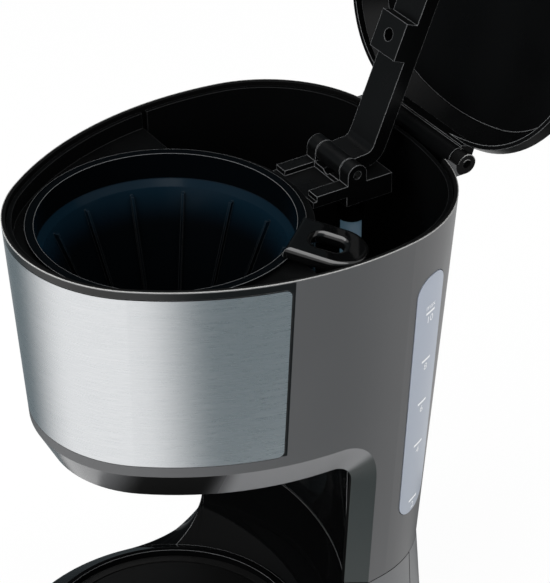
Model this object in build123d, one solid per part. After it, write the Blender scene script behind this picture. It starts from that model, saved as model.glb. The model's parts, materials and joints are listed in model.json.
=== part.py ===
from build123d import *
from math import asin, atan2, cos, degrees, pi, radians, sin, sqrt, tan
import os

# Drip coffee maker with its lid open. Millimetres, +Z up, front towards -Y, right hand side towards +X.
# Everything is modelled about the filter basket's axis and moved to the frame's origin when it is written.
BASKET_Y = -65.2  # the basket's axis from the middle of the whole object's box

# Overall form of the body: an oval of four kinds of arc, drafted inwards towards the table
RIM_Z = 291.0
OVAL_HALF_WIDTH = 85.3
OVAL_FRONT = 72.8
OVAL_BACK = 130.7
NOSE_R = 64.9
SIDE_R = 157.0
CORNER_R = 62.6
BACK_R = 155.5
DRAFT = 0.0693
SEAM_Z = 100.0
SEAM_GAP = 0.5
WALL = 2.0
CLEAR = 0.4  # between mouldings that nest

# Jug bay under the brew head
BAY_TOP = 173.5
BAY_BACK = 54.0
BAY_CORNER = 11.0
BAY_EDGE_IN = 7.0
BAY_EDGE_UP = 16.0  # the bevel's height on the brew head
BAY_EDGE_BACK = 9.5  # and its width on the column
BEVEL_STEPS = 6
BAY_LIP = 2.0
BAY_ARC_R = 136.0
BAY_DEPTH = 71.0
LINER_WALL = 2.0
LINER_STEP = 1.0
LINER_GAP = 0.25

# Steel wrap
STEEL_BOTTOM = 195.3
STEEL_DROP = 4.6  # from the rim
STEEL_TOP = RIM_Z - STEEL_DROP
STEEL_END_Y = 14.5
STEEL_CORNER = 3.0
STEEL_THICK = 0.8
STEEL_GAP = 0.35

# Level window in the right hand wall
WINDOW_Y = 90.0
WINDOW_WIDTH = 20.0
WINDOW_BOTTOM = 129.3
WINDOW_DROP = 24.5  # from the rim
WINDOW_TOP = RIM_Z - WINDOW_DROP
WINDOW_CORNER = 9.0
WINDOW_GAP = 0.25
WINDOW_PROUD = 0.3
WINDOW_LEDGE = 2.5

# Water tank and brew well
TANK_WALL = 2.0
TANK_FLOOR = 112.0
TANK_FRONT_Y = 34.5
TANK_ARC_R = 64.0
INNER_RIM_DROP = 2.0
DECK_DROP = 9.5  # from the rim
DECK_Z = RIM_Z - DECK_DROP
DECK_THICK = 2.0
WELL_WALL = 2.0
WELL_FLOOR = 177.0
WELL_FLOOR_R = 42.0
WELL_STRAIGHT = 53.5  # the upright part under the deck
WELL_CONE_TOP = DECK_Z - WELL_STRAIGHT
DRIP_HOLE_R = 16.0

# Filter basket
BASKET_RIM_R = 62.0
BASKET_RIM_UP = 2.3  # over the deck
BASKET_RIM_Z = DECK_Z + BASKET_RIM_UP
BASKET_RIM_THICK = 2.0
BASKET_WALL = 2.0
BASKET_COLLAR_R = 60.0
BASKET_COLLAR_DEPTH = 15.0
BASKET_STEP = 3.0
BASKET_FLOOR_Z = 194.0
BASKET_FLOOR_R = 26.0
BASKET_FIT = 0.6
RIB_COUNT = 14
RIB_THICK = 1.2
RIB_HEIGHT = 1.6
HANDLE_ANGLE = 40.0
HANDLE_REACH = 92.0
HANDLE_WIDTH = 29.0
HANDLE_BAR = 9.5  # beside the finger hole
HANDLE_TIP = 11.0  # and beyond it
HANDLE_HOLE_LENGTH = 14.0
HANDLE_HOLE_ROUND = 4.0
HANDLE_THICK = 6.0
HANDLE_LIFT = 0.4
HANDLE_ROUND = 2.4
HANDLE_DROOP = 9.0

# Drip stop under the basket
GUARD_R = 12.0
GUARD_WALL = 2.0
GUARD_BOTTOM = 182.0
OUTLET_R = 6.0
STEM_R = 3.0
STOP_TIP_Z = 169.0
STOP_FLANGE_Z = 178.0
STOP_FLANGE_R = 7.5
STOP_FLANGE_THICK = 2.0
STOP_HEAD_R = 6.0
STOP_SEAL_R = 8.0
STOP_SEAL_THICK = 2.0
STOP_SEAT_GAP = 0.3
SPRING_R = 7.0
SPRING_WALL = 1.2

# Lid and its hinge
LID_ANGLE = 108.0
HINGE_Y = 134.7
HINGE_DROP = 2.0  # from the rim
HINGE_Z = RIM_Z - HINGE_DROP
HINGE_PIN_R = 2.0
HINGE_RUNNING = 0.05
PIN_SEAT = 0.02
PIN_INSET = 2.5
EAR_INNER_X = 32.2
EAR_WIDTH = 6.5
EAR_R = 4.8
KNUCKLE_R = 5.0
HINGE_GAP = 0.4
NOTCH_DEPTH = 12.0
LID_GAP = 1.0
LID_FOOT_OVER = 1.0
LID_BULGE_OVER = 2.7
LID_BULGE_UP = 5.0
LID_TOP_UP = 22.0
LID_TOP_IN = 8.0
LID_ROUND = 6.0
LID_WALL = 2.0
LID_PANEL_UP = 15.6
LID_PANEL_THICK = 1.6
LID_POST_R = 4.0
LID_POSTS = [(-45.0, -20.0), (45.0, -20.0), (-45.0, 70.0), (45.0, 70.0)]  # stops for the snapped-in panel

# Hot-water spout
SPOUT_ANGLE = 112.0
SPOUT_Y = 90.0
SPOUT_UP = 5.0  # over the deck
SPOUT_Z = DECK_Z + SPOUT_UP
SPOUT_RISE = 13.5
SPOUT_REACH = 85.0
SPOUT_WIDTH = 19.0
SPOUT_THICK = 7.0
SPOUT_DUCT = 3.0
SPOUT_HUB_R = 5.0
SPOUT_BEND = 8.0
NOZZLE_REACH = 62.0
NOZZLE_LENGTH = 18.0
NOZZLE_DROP = 6.0
BLOCK_HALF_WIDTH = 17.0
BLOCK_BACK_Y = 109.0
BLOCK_UP = 0.5  # over the deck
BLOCK_HEIGHT = 28.0
BLOCK_TOP = DECK_Z + BLOCK_UP
BLOCK_BOTTOM = BLOCK_TOP - BLOCK_HEIGHT
CHEEK_GAP = 0.5
CHEEK_R = 5.0
BRIDGE_THICK = 3.0

# Water path
RISER_Y = 98.5
RISER_R = 5.0
RISER_BORE = 3.5
SOCKET_WALL = 1.5
SOCKET_DEPTH = 8.0
HOSE_FIT = 0.05
SPIGOT_LENGTH = 14.0
SPIGOT_BORE = 3.0
HOSE_WALL = 2.0
HOSE_BEND = 13.0
HOSE_GRIP = 10.0
CLIP_WALL = 1.0
CLIP_WIDTH = 5.0
LEG_X = 30.0
LEG_END_Y = 85.0
BALL_R = 2.6
BALL_LIFT = 2.0
CAGE_R = 6.0
CAGE_WALL = 2.0
CAGE_HEIGHT = 11.5

# Base
BASE_BOTTOM = 2.0
BASE_Y = 3.0
BASE_R = 87.0
BASE_EDGE_Z = 32.0
COLLAR_R = 64.0
COLLAR_Z = 50.0
BASE_WALL = 2.5
COVE_R = 40.0
FLARE = 0.075
REAR_SPLIT_Y = 93.0
REAR_SPLIT_GAP = 0.4

# Hot plate and heater
PLATE_Y = -3.0
PLATE_R = 57.0
PLATE_TOP = 46.5
PLATE_THICK = 2.0
RECESS_R = COLLAR_R - BASE_WALL
PLATE_HOLE_R = 53.0
SHELF_Z = 43.0
SPREADER_R = 48.0
SPREADER_THICK = 4.2
TUBE_R = RISER_R  # the hoses fit both
TUBE_BEND = 30.0
TUBE_BEND_Y = -8.0
ELEMENT_R = 4.0
ELEMENT_END_Y = 62.0
TOUCH = 0.15  # between heater pieces that are clamped together
STRAP_WIDTH = 14.0
STRAP_THICK = 1.2
STRAP_Y = 6.0
THERMOSTAT_R = 9.0
THERMOSTAT_HEIGHT = 6.0
THERMOSTAT_Y = 26.0
FUSE_R = 2.2
FUSE_LENGTH = 20.0

# Switch in the front of the base
SWITCH_Z = 18.0
SWITCH_WIDTH = 13.0
SWITCH_HEIGHT = 19.0
SWITCH_DEPTH = 16.0
SWITCH_WALL = 1.6
SWITCH_FLANGE = 2.0
SWITCH_FLANGE_THICK = 1.6
SWITCH_FIT = 0.3
ROCKER_TILT = 7.0
ROCKER_PIN_R = 1.5
ROCKER_PIN_RUNNING = 0.05
ROCKER_FIT = 0.4
ROCKER_DEPTH = 6.0

# Underside
BASE_PLATE_THICK = 2.5
FOOT_R = 7.0
FOOT_PLACES = [(-56.0, -36.0), (56.0, -36.0), (-48.0, 88.0), (48.0, 88.0)]
FOOT_HEIGHT = 3.0
BOSS_R = 4.5
FRONT_BOSS_X = 64.0
FRONT_BOSS_Y = -20.0
REAR_BOSS_X = 34.0
REAR_BOSS_Y = 108.0
REAR_BOSS_HEIGHT = 28.0
SCREW_R = 1.6
SCREW_FIT = 0.1
SCREW_HEAD_R = 3.2
SCREW_HEAD = 2.4
SCREW_LENGTH = 12.0
SCREW_TURN = 30.0
RECESS_WIDTH = 0.9
POST_X = 56.0
POST_Y = 82.0
POST_R = 5.5
POST_CAP = 3.0
GLAND_X = 30.0
GLAND_Z = 24.0
GLAND_R = 6.0
GLAND_BORE = 3.6
GLAND_FLANGE = 2.0
GLAND_FLANGE_THICK = 2.0

FAR = 2 * (RIM_Z + OVAL_BACK)  # longer than the object in any direction
OVERCUT = 1.0


# Shapes that several pieces share

def toward(centre, point, distance):
    return centre + (point - centre).normalized() * distance


def rear_meeting(centre_a, radius_a, centre_b, radius_b):
    """The crossing of two circles that lies further back."""
    along = centre_b - centre_a
    gap = along.length
    step = (radius_a**2 - radius_b**2 + gap**2) / (2 * gap)
    rise = sqrt(radius_a**2 - step**2)
    ahead = along.normalized()
    aside = Vector(-ahead.Y, ahead.X)
    foot = centre_a + ahead * step
    return max(foot + aside * rise, foot - aside * rise, key=lambda point: point.Y)


def nose_centre():
    return Vector(0, NOSE_R - OVAL_FRONT)


def side_centre():
    """The centre of the right hand arc, which runs on smoothly from the nose."""
    inset = OVAL_HALF_WIDTH - SIDE_R
    return Vector(inset, nose_centre().Y + sqrt((SIDE_R - NOSE_R) ** 2 - inset**2))


def oval(offset, z):
    """The body's plan outline, moved outwards by offset, as a face at height z."""
    nose, side = nose_centre(), side_centre()
    back = Vector(0, OVAL_BACK - BACK_R)
    corner = rear_meeting(side, SIDE_R - CORNER_R, back, BACK_R - CORNER_R)
    corner_way = (corner - side).normalized() + (corner - back).normalized()
    nose_end = toward(side, nose, SIDE_R + offset)
    side_end = toward(side, corner, SIDE_R + offset)
    back_end = toward(back, corner, BACK_R + offset)
    side_way = (nose_end - side).normalized() + (side_end - side).normalized()
    side_mid = toward(side, side + side_way, SIDE_R + offset)
    corner_mid = toward(corner, corner + corner_way, CORNER_R + offset)

    def left(point):
        return Vector(-point.X, point.Y)

    arcs = [
        ThreePointArc(left(nose_end), Vector(0, -OVAL_FRONT - offset), nose_end),
        ThreePointArc(nose_end, side_mid, side_end),
        ThreePointArc(side_end, corner_mid, back_end),
        ThreePointArc(back_end, Vector(0, OVAL_BACK + offset), left(back_end)),
        ThreePointArc(left(back_end), left(corner_mid), left(side_end)),
        ThreePointArc(left(side_end), left(side_mid), left(nose_end)),
    ]
    return Pos(0, 0, z) * Face(Wire(arcs))


def body_offset(z):
    """How far the drafted wall stands inside the rim at height z, and outside again below the seam."""
    if z >= SEAM_Z:
        return -DRAFT * (RIM_Z - z)
    return -DRAFT * (RIM_Z - SEAM_Z) + FLARE * (SEAM_Z - z)


def oval_block(low, high, offset=0.0):
    """A block of the upper body between two heights, drafted like its wall."""
    ends = [oval(offset - DRAFT * (RIM_Z - z), z) for z in (low, high)]
    return loft(ends, ruled=True)


def lower_block(low, high, offset=0.0):
    """A block of the flared lower body between two heights."""
    ends = [oval(offset + body_offset(min(z, SEAM_Z)), z) for z in (low, high)]
    return loft(ends, ruled=True)


def box(x, y, z):
    """A box from three pairs of limits."""
    sizes = [pair[1] - pair[0] for pair in (x, y, z)]
    middle = [(pair[0] + pair[1]) / 2 for pair in (x, y, z)]
    return Pos(*middle) * Box(*sizes)


def rod(radius, start, end):
    """A round bar between two points."""
    start, end = Vector(*start), Vector(*end)
    return extrude(Plane(start, z_dir=end - start) * Circle(radius), (end - start).length)


def tube(outer, inner, start, end):
    return rod(outer, start, end) - rod(inner, start, end)


def upright(radius, low, high, x=0.0, y=0.0):
    return rod(radius, (x, y, low), (x, y, high))


def upright_tube(outer, inner, low, high, x=0.0, y=0.0):
    return upright(outer, low, high, x, y) - upright(inner, low, high, x, y)


def across(radius, y, z, low, high):
    """A round bar along X."""
    return rod(radius, (low, y, z), (high, y, z))


def side_profile(y, z, corner):
    """A rounded rectangle in the side view."""
    middle = Pos((y[0] + y[1]) / 2, (z[0] + z[1]) / 2)
    return Plane.YZ * middle * RectangleRounded(y[1] - y[0], z[1] - z[0], corner)


def pipe(radius, points, bend):
    path = FilletPolyline(*points, radius=bend)
    return sweep(Plane(path @ 0, z_dir=path % 0) * Circle(radius), path=path)


def turned(piece, angle, y, z):
    """A piece turned about an axis along X, positive as the lid opens."""
    return Pos(0, y, z) * Rot(-angle, 0, 0) * Pos(0, -y, -z) * piece


def both_sides(piece):
    return [piece, mirror(piece, Plane.YZ)]


# Jug bay

def bay_space(grow):
    """The jug bay as seen from the side, right across the body."""
    profile = side_profile((-FAR, BAY_BACK + grow), (-FAR, BAY_TOP + grow), BAY_CORNER)
    return extrude(profile, FAR, both=True)


def bay_hollow(grow, low, high):
    """The shallow round hollow in front of the bay's back wall."""
    return upright(BAY_ARC_R + grow, low, high, y=BAY_DEPTH - BAY_ARC_R)


def bay_mouth(gap, low, high):
    """The space inside the lip that runs round the bay's opening."""
    inside = oval_block(low, high, -(BAY_EDGE_IN + BAY_LIP) - gap)
    return inside & box((-FAR, FAR), (-FAR, BAY_DEPTH + LINER_STEP), (low, high))


def side_start():
    """The way, as an angle from +X, that the wall faces where the nose runs into the right hand side."""
    run = nose_centre() - side_centre()
    return atan2(run.Y, run.X)


def drafted(radius, z, offset):
    return radius + offset - DRAFT * (RIM_Z - z)


def wall_point(angle, z, offset):
    """The point of the nose or the right hand side that faces an angle from +X."""
    on_nose = angle < side_start()
    centre, radius = (nose_centre(), NOSE_R) if on_nose else (side_centre(), SIDE_R)
    reach = drafted(radius, z, offset)
    return centre + Vector(reach * cos(angle), reach * sin(angle), z)


def wall_angle(y, z, offset):
    """The angle from +X that the right hand side faces at a depth and a height."""
    return asin((y - side_centre().Y) / drafted(SIDE_R, z, offset))


def bevel_section(angle, turn, z, offset):
    """What the bevel takes off across the bay's edge: turn is 0 on the head and pi / 2 down the column."""
    edge = wall_point(angle, z, offset)
    inner = edge - Vector(cos(angle), sin(angle)) * BAY_EDGE_IN
    width = BAY_EDGE_UP + (BAY_EDGE_BACK - BAY_EDGE_UP) * sin(turn) ** 2
    outer_z = z + width * cos(turn)
    if turn:
        angle = wall_angle(edge.Y + width * sin(turn), outer_z, offset)
    outer = wall_point(angle, outer_z, offset)
    along = (outer - inner).normalized()
    depth = edge - inner - along * (edge - inner).dot(along)
    away = depth + depth.normalized() * OVERCUT
    start, end = inner - along * OVERCUT, outer + along * OVERCUT
    return Face(Wire.make_polygon([start, end, end + away, start + away]))


def bay_bevel(offset, grow):
    """The bevel round the bay's outer edge: round the nose, back along the sides and down the column."""
    top = BAY_TOP + grow
    back = BAY_BACK + grow
    join = side_start()
    side_turn = wall_angle(back - BAY_CORNER, top, offset) - join
    nose_axis = Axis(nose_centre(), (0, 0, 1))
    nose = revolve(bevel_section(-pi - join, 0, top, offset), nose_axis, degrees(pi + 2 * join))
    side_axis = Axis(side_centre(), (0, 0, 1))
    side = revolve(bevel_section(join, 0, top, offset), side_axis, degrees(side_turn))
    bend = []
    for step in range(BEVEL_STEPS + 1):
        turn = pi / 2 * step / BEVEL_STEPS
        y = back - BAY_CORNER * (1 - sin(turn))
        z = top - BAY_CORNER * (1 - cos(turn))
        bend.append(bevel_section(wall_angle(y, z, offset), turn, z, offset))
    low = SEAM_Z - 2 * OVERCUT
    column = loft([bend[-1], bevel_section(wall_angle(back, low, offset), pi / 2, low, offset)], ruled=True)
    runs = [nose]
    for run in (side, loft(bend), column):
        runs += both_sides(run)
    return runs


def body_form(offset, grow, low, high):
    """The upper body with the bay cut away and the bay's outer edge bevelled all round."""
    return oval_block(low, high, offset) - bay_space(grow) - bay_bevel(offset, grow)


# Upper body

def steel_profile(gap):
    return side_profile((-FAR, STEEL_END_Y + gap), (STEEL_BOTTOM - gap, STEEL_TOP + gap), STEEL_CORNER + gap)


def steel_layer(inner, outer, gap):
    """The part of the head's wall between two depths that the steel wrap takes up."""
    low, high = STEEL_BOTTOM - OVERCUT, STEEL_TOP + OVERCUT
    layer = oval_block(low, high, outer) - oval_block(low, high, inner)
    return layer & extrude(steel_profile(gap), FAR, both=True)


def window_slot(grow):
    profile = side_profile(
        (WINDOW_Y - WINDOW_WIDTH / 2 - grow, WINDOW_Y + WINDOW_WIDTH / 2 + grow),
        (WINDOW_BOTTOM - grow, WINDOW_TOP + grow),
        WINDOW_CORNER + grow,
    )
    return extrude(profile, FAR)


def hinge_notch():
    reach = EAR_INNER_X
    return box((-reach, reach), (HINGE_Y - NOTCH_DEPTH, FAR), (RIM_Z - NOTCH_DEPTH, FAR))


def hinge_ear():
    back_wall = OVAL_BACK - WALL
    limits = (EAR_INNER_X, EAR_INNER_X + EAR_WIDTH)
    ear = across(EAR_R, HINGE_Y, HINGE_Z, *limits)
    ear += box(limits, (back_wall - WALL, HINGE_Y), (HINGE_Z - EAR_R, HINGE_Z + LID_GAP))
    return ear


def upper_housing():
    shell = body_form(0, 0, SEAM_Z, RIM_Z) - body_form(-WALL, WALL, SEAM_Z - OVERCUT, RIM_Z + OVERCUT)
    shell -= bay_mouth(0, SEAM_Z - OVERCUT, BAY_TOP + WALL + OVERCUT)
    shell -= steel_layer(-STEEL_THICK - STEEL_GAP / 2, OVERCUT, STEEL_GAP)
    shell -= window_slot(WINDOW_GAP)
    shell -= hinge_notch()
    inside = oval_block(SEAM_Z, RIM_Z + OVERCUT, -WALL)
    for ear in both_sides(hinge_ear() - inside):
        shell += ear
    return shell - across(HINGE_PIN_R + PIN_SEAT, HINGE_Y, HINGE_Z, -FAR, FAR)


def steel_wrap():
    return steel_layer(-STEEL_THICK, 0, 0)


def level_window():
    low, high = WINDOW_BOTTOM - OVERCUT, WINDOW_TOP + OVERCUT
    layer = oval_block(low, high, WINDOW_PROUD) - oval_block(low, high, -WALL - CLEAR + WINDOW_GAP)
    return layer & window_slot(0)


def bay_liner():
    low = SEAM_Z + SEAM_GAP
    high = BAY_TOP + LINER_STEP + LINER_WALL
    outer = bay_mouth(LINER_GAP, low, high) & bay_hollow(LINER_WALL, low, high)
    liner = outer - bay_hollow(0, low - OVERCUT, high - LINER_WALL)
    return liner - upright(DRIP_HOLE_R, low, high + OVERCUT)


# Water tank and brew well

def tank_region(inset, low, high):
    """The tank's block, or its inside when inset by its wall."""
    nest = WALL + CLEAR + inset
    region = body_form(-nest, nest, low, high)
    region -= box((-FAR, FAR), (-FAR, TANK_FRONT_Y + inset), (low - OVERCUT, high + OVERCUT))
    region -= upright(TANK_ARC_R + inset, low - OVERCUT, high + OVERCUT)
    over_liner = BAY_TOP + LINER_STEP + LINER_WALL + CLEAR + inset
    return region - bay_hollow(LINER_WALL + CLEAR + inset, low - OVERCUT, over_liner)


def water_tank():
    top = RIM_Z - INNER_RIM_DROP
    tank = tank_region(0, TANK_FLOOR, top)
    tank -= tank_region(TANK_WALL, TANK_FLOOR + TANK_WALL, top + OVERCUT)
    over_wall = TANK_FRONT_Y + TANK_WALL + CLEAR
    deck_under = DECK_Z - DECK_THICK - CLEAR
    tank -= box((-FAR, FAR), (-FAR, over_wall), (deck_under, FAR))
    tank -= upright(TANK_ARC_R + TANK_WALL + CLEAR, deck_under, FAR)
    tank -= window_slot(-WINDOW_LEDGE)
    spigot_low = TANK_FLOOR - SPIGOT_LENGTH
    socket_top = TANK_FLOOR + TANK_WALL + SOCKET_DEPTH
    for x in (0, -LEG_X):
        tank += upright(RISER_R, spigot_low, TANK_FLOOR, x, RISER_Y)
    tank += upright(RISER_R + SOCKET_WALL, TANK_FLOOR, socket_top, 0, RISER_Y)
    for x in (-POST_X, POST_X):
        tank += upright(BOSS_R, SEAM_Z, TANK_FLOOR + TANK_WALL / 2, x, POST_Y)
        tank -= upright(SCREW_R + SCREW_FIT, SEAM_Z - OVERCUT, SEAM_Z + SCREW_LENGTH - POST_CAP, x, POST_Y)
    tank -= upright(RISER_R + HOSE_FIT, TANK_FLOOR + TANK_WALL, socket_top + OVERCUT, 0, RISER_Y)
    for x in (0, -LEG_X):
        tank -= upright(SPIGOT_BORE, spigot_low - OVERCUT, TANK_FLOOR + TANK_WALL + OVERCUT, x, RISER_Y)
    return tank


def well_form(inset):
    """The round well under the deck, or its inside when inset by its wall."""
    radius = BASKET_COLLAR_R + BASKET_FIT + WELL_WALL - inset
    floor = (WELL_FLOOR_R - inset, WELL_FLOOR + inset)
    return turned_solid([(radius, DECK_Z), (radius, WELL_CONE_TOP), floor])


def basket_well():
    nest = WALL + CLEAR
    top = RIM_Z - INNER_RIM_DROP
    front = box((-FAR, FAR), (-FAR, TANK_FRONT_Y - CLEAR), (0, FAR))
    skirt_low = BAY_TOP + BAY_EDGE_UP + 2 * nest
    skirt = oval_block(skirt_low, top, -nest) - oval_block(skirt_low, top, -nest - WELL_WALL)
    deck_low = DECK_Z - DECK_THICK
    deck = oval_block(deck_low, DECK_Z, -nest) & front
    deck += upright(TANK_ARC_R + TANK_WALL, deck_low, DECK_Z)
    well = (skirt & front) + deck + well_form(0) - well_form(WELL_WALL)
    return well - upright(DRIP_HOLE_R, WELL_FLOOR - OVERCUT, DECK_Z)


# Filter basket and drip stop

def basket_outline(inset):
    """Half the basket's section from its rim to its floor, moved inwards by inset."""
    collar_low = BASKET_RIM_Z - BASKET_COLLAR_DEPTH
    return [
        (BASKET_COLLAR_R - inset, BASKET_RIM_Z),
        (BASKET_COLLAR_R - inset, collar_low + inset),
        (BASKET_COLLAR_R - BASKET_STEP - inset, collar_low - BASKET_STEP + inset),
        (BASKET_FLOOR_R - inset, BASKET_FLOOR_Z + inset),
    ]


def turned_solid(points):
    """A solid of revolution from half a section, closed along the axis."""
    first, last = Vector(0, 0, points[0][1]), Vector(0, 0, points[-1][1])
    corners = [first] + [Vector(r, 0, z) for r, z in points] + [last]
    return revolve(make_face(Polyline(*corners, close=True)), Axis.Z)


def basket_ribs():
    """Ribs down the cone that hold the filter paper off its wall."""
    collar_low = BASKET_RIM_Z - BASKET_COLLAR_DEPTH
    keep = turned_solid(basket_outline(BASKET_WALL / 2))
    keep -= turned_solid(basket_outline(BASKET_WALL + RIB_HEIGHT))
    keep &= upright(BASKET_COLLAR_R, BASKET_FLOOR_Z, collar_low - BASKET_STEP)
    blades = Part()
    for number in range(RIB_COUNT):
        blade = box((BASKET_FLOOR_R / 2, BASKET_COLLAR_R), (-RIB_THICK / 2, RIB_THICK / 2), (0, RIM_Z))
        blades += Rot(0, 0, 360 / RIB_COUNT * (number + 0.5)) * blade
    return keep & blades


def basket_handle():
    """A loop that hooks over the rim and droops a little as it reaches out."""
    low = DECK_Z + HANDLE_LIFT
    deck_edge = TANK_ARC_R + TANK_WALL
    root = BASKET_COLLAR_R - BASKET_WALL
    length = HANDLE_REACH - root
    middle = (HANDLE_REACH + root) / 2
    outer = Pos(middle, 0) * RectangleRounded(length, HANDLE_WIDTH, HANDLE_WIDTH / 2 - OVERCUT)
    outer += Pos(root + length / 4, 0) * Rectangle(length / 2, HANDLE_WIDTH)
    hole_middle = HANDLE_REACH - HANDLE_TIP - HANDLE_HOLE_LENGTH / 2
    hole_width = HANDLE_WIDTH - 2 * HANDLE_BAR
    hole = Pos(hole_middle, 0) * RectangleRounded(HANDLE_HOLE_LENGTH, hole_width, HANDLE_HOLE_ROUND)
    loop = Pos(0, 0, low) * extrude(outer - hole, HANDLE_THICK)
    loop = fillet(loop.edges().filter_by(Plane.XY), HANDLE_ROUND)
    loop = Pos(deck_edge, 0, low) * Rot(0, HANDLE_DROOP, 0) * Pos(-deck_edge, 0, -low) * loop
    loop -= upright(root, low - OVERCUT, RIM_Z + OVERCUT)
    loop -= upright(BASKET_RIM_R + TOUCH, low - OVERCUT, BASKET_RIM_Z + TOUCH)
    return Rot(0, 0, HANDLE_ANGLE) * loop


def filter_basket():
    rim_low = BASKET_RIM_Z - BASKET_RIM_THICK
    basket = turned_solid(basket_outline(0)) + upright(BASKET_RIM_R, rim_low, BASKET_RIM_Z)
    basket += upright(GUARD_R, GUARD_BOTTOM, BASKET_FLOOR_Z)
    basket -= turned_solid(basket_outline(BASKET_WALL))
    basket -= upright(BASKET_COLLAR_R - BASKET_WALL, BASKET_RIM_Z, RIM_Z)
    basket -= upright(GUARD_R - GUARD_WALL, GUARD_BOTTOM - OVERCUT, BASKET_FLOOR_Z - GUARD_WALL)
    basket -= upright(OUTLET_R, GUARD_BOTTOM, BASKET_FLOOR_Z + BASKET_WALL + OVERCUT)
    return basket + basket_ribs()


def stop_seat_z():
    """Where the drip stop's seal rests on the basket's floor."""
    return BASKET_FLOOR_Z + BASKET_WALL + STOP_SEAT_GAP


def drip_plunger():
    seal_top = stop_seat_z() + STOP_SEAL_THICK
    plunger = upright(STEM_R, STOP_TIP_Z, seal_top)
    plunger += upright(STOP_HEAD_R, seal_top, seal_top + STOP_FLANGE_THICK)
    plunger += upright(STOP_FLANGE_R, STOP_FLANGE_Z, STOP_FLANGE_Z + STOP_FLANGE_THICK)
    tip = plunger.edges().filter_by(GeomType.CIRCLE).sort_by(Axis.Z)[0]
    return fillet(tip, STEM_R / 2)


def drip_seal():
    return upright_tube(STOP_SEAL_R, STEM_R, stop_seat_z(), stop_seat_z() + STOP_SEAL_THICK)


def spring_ends():
    low = STOP_FLANGE_Z + STOP_FLANGE_THICK
    high = BASKET_FLOOR_Z - GUARD_WALL
    return low, high


def drip_spring():
    return upright_tube(SPRING_R, SPRING_R - SPRING_WALL, *spring_ends())


# Lid

def lid_form(inset, foot):
    """The closed lid as a block, or its inside when inset by its wall."""
    low = RIM_Z + LID_GAP
    middle = low + LID_BULGE_UP
    top = RIM_Z + LID_TOP_UP - inset
    lower = loft([oval(LID_FOOT_OVER - inset, low), oval(LID_BULGE_OVER - inset, middle)], ruled=True)
    upper = loft([oval(LID_BULGE_OVER - inset, middle), oval(-LID_TOP_IN - inset, top)], ruled=True)
    form = lower + upper
    if foot:
        form += extrude(oval(LID_FOOT_OVER - inset, low), -foot)
    top_edges = form.edges().filter_by_position(Axis.Z, top - CLEAR, top + CLEAR)
    return fillet(top_edges, LID_ROUND - inset)


def lid_shell():
    shell = lid_form(0, 0) - lid_form(LID_WALL, OVERCUT)
    panel_top = RIM_Z + LID_PANEL_UP + LID_PANEL_THICK
    roof = RIM_Z + LID_TOP_UP - LID_WALL / 2
    for x, y in LID_POSTS:
        shell += upright(LID_POST_R, panel_top + TOUCH, roof, x, y)
    reach = EAR_INNER_X - HINGE_GAP
    lug_top = RIM_Z + LID_GAP + LID_BULGE_UP
    shell += box((-reach, reach), (OVAL_BACK - LID_WALL, HINGE_Y + KNUCKLE_R), (HINGE_Z, lug_top))
    shell += across(KNUCKLE_R, HINGE_Y, HINGE_Z, -reach, reach)
    shell -= across(HINGE_PIN_R + HINGE_RUNNING, HINGE_Y, HINGE_Z, -FAR, FAR)
    ear_room = across(EAR_R + HINGE_GAP, HINGE_Y, HINGE_Z, reach, reach + EAR_WIDTH + 2 * HINGE_GAP)
    for room in both_sides(ear_room):
        shell -= room
    return turned(shell, LID_ANGLE, HINGE_Y, HINGE_Z)


def lid_panel():
    low = RIM_Z + LID_PANEL_UP
    high = low + LID_PANEL_THICK
    panel = lid_form(LID_WALL + CLEAR, OVERCUT) & box((-FAR, FAR), (-FAR, FAR), (low, high))
    return turned(panel, LID_ANGLE, HINGE_Y, HINGE_Z)


def screw(face_z, x, y, length):
    """A cross-recessed pan-head screw whose head lies under a face and whose shank runs up."""
    seat = face_z - TOUCH
    tip = seat - SCREW_HEAD
    piece = upright(SCREW_R, seat, face_z + length) + upright(SCREW_HEAD_R, tip, seat)
    wide = (-SCREW_R, SCREW_R)
    narrow = (-RECESS_WIDTH / 2, RECESS_WIDTH / 2)
    deep = (tip - OVERCUT, tip + SCREW_HEAD / 2)
    piece -= box(wide, narrow, deep) + box(narrow, wide, deep)
    return Pos(x, y, 0) * Rot(0, 0, SCREW_TURN) * piece


def hinge_pin():
    reach = EAR_INNER_X + EAR_WIDTH - PIN_INSET
    return across(HINGE_PIN_R, HINGE_Y, HINGE_Z, -reach, reach)


# Hot-water spout

def spout_path():
    """The middle line of the closed spout, from its pivot up and out over the basket."""
    line_z = SPOUT_Z + SPOUT_RISE
    return FilletPolyline(
        (SPOUT_Y, SPOUT_Z),
        (SPOUT_Y - SPOUT_RISE / 2, line_z),
        (SPOUT_Y - SPOUT_REACH, line_z),
        radius=SPOUT_BEND,
    )


def spout_arm():
    half = SPOUT_WIDTH / 2
    line_z = SPOUT_Z + SPOUT_RISE
    arm = extrude(Plane.YZ * trace(spout_path(), SPOUT_THICK), half, both=True)
    arm += across(SPOUT_HUB_R, SPOUT_Y, SPOUT_Z, -half, half)
    nozzle_y = SPOUT_Y - NOZZLE_REACH
    nozzle_limits = (nozzle_y - NOZZLE_LENGTH / 2, nozzle_y + NOZZLE_LENGTH / 2)
    arm += box((-half, half), nozzle_limits, (line_z - SPOUT_THICK / 2 - NOZZLE_DROP, line_z))
    arm -= extrude(Plane.YZ * trace(spout_path(), SPOUT_DUCT), half - SPOUT_DUCT, both=True)
    arm -= upright(SPOUT_DUCT, line_z - SPOUT_THICK - NOZZLE_DROP, line_z, y=nozzle_y)
    arm -= across(HINGE_PIN_R + HINGE_RUNNING, SPOUT_Y, SPOUT_Z, -FAR, FAR)
    return turned(arm, SPOUT_ANGLE, SPOUT_Y, SPOUT_Z)


def spout_pin():
    return across(HINGE_PIN_R, SPOUT_Y, SPOUT_Z, -BLOCK_HALF_WIDTH, BLOCK_HALF_WIDTH)


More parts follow.
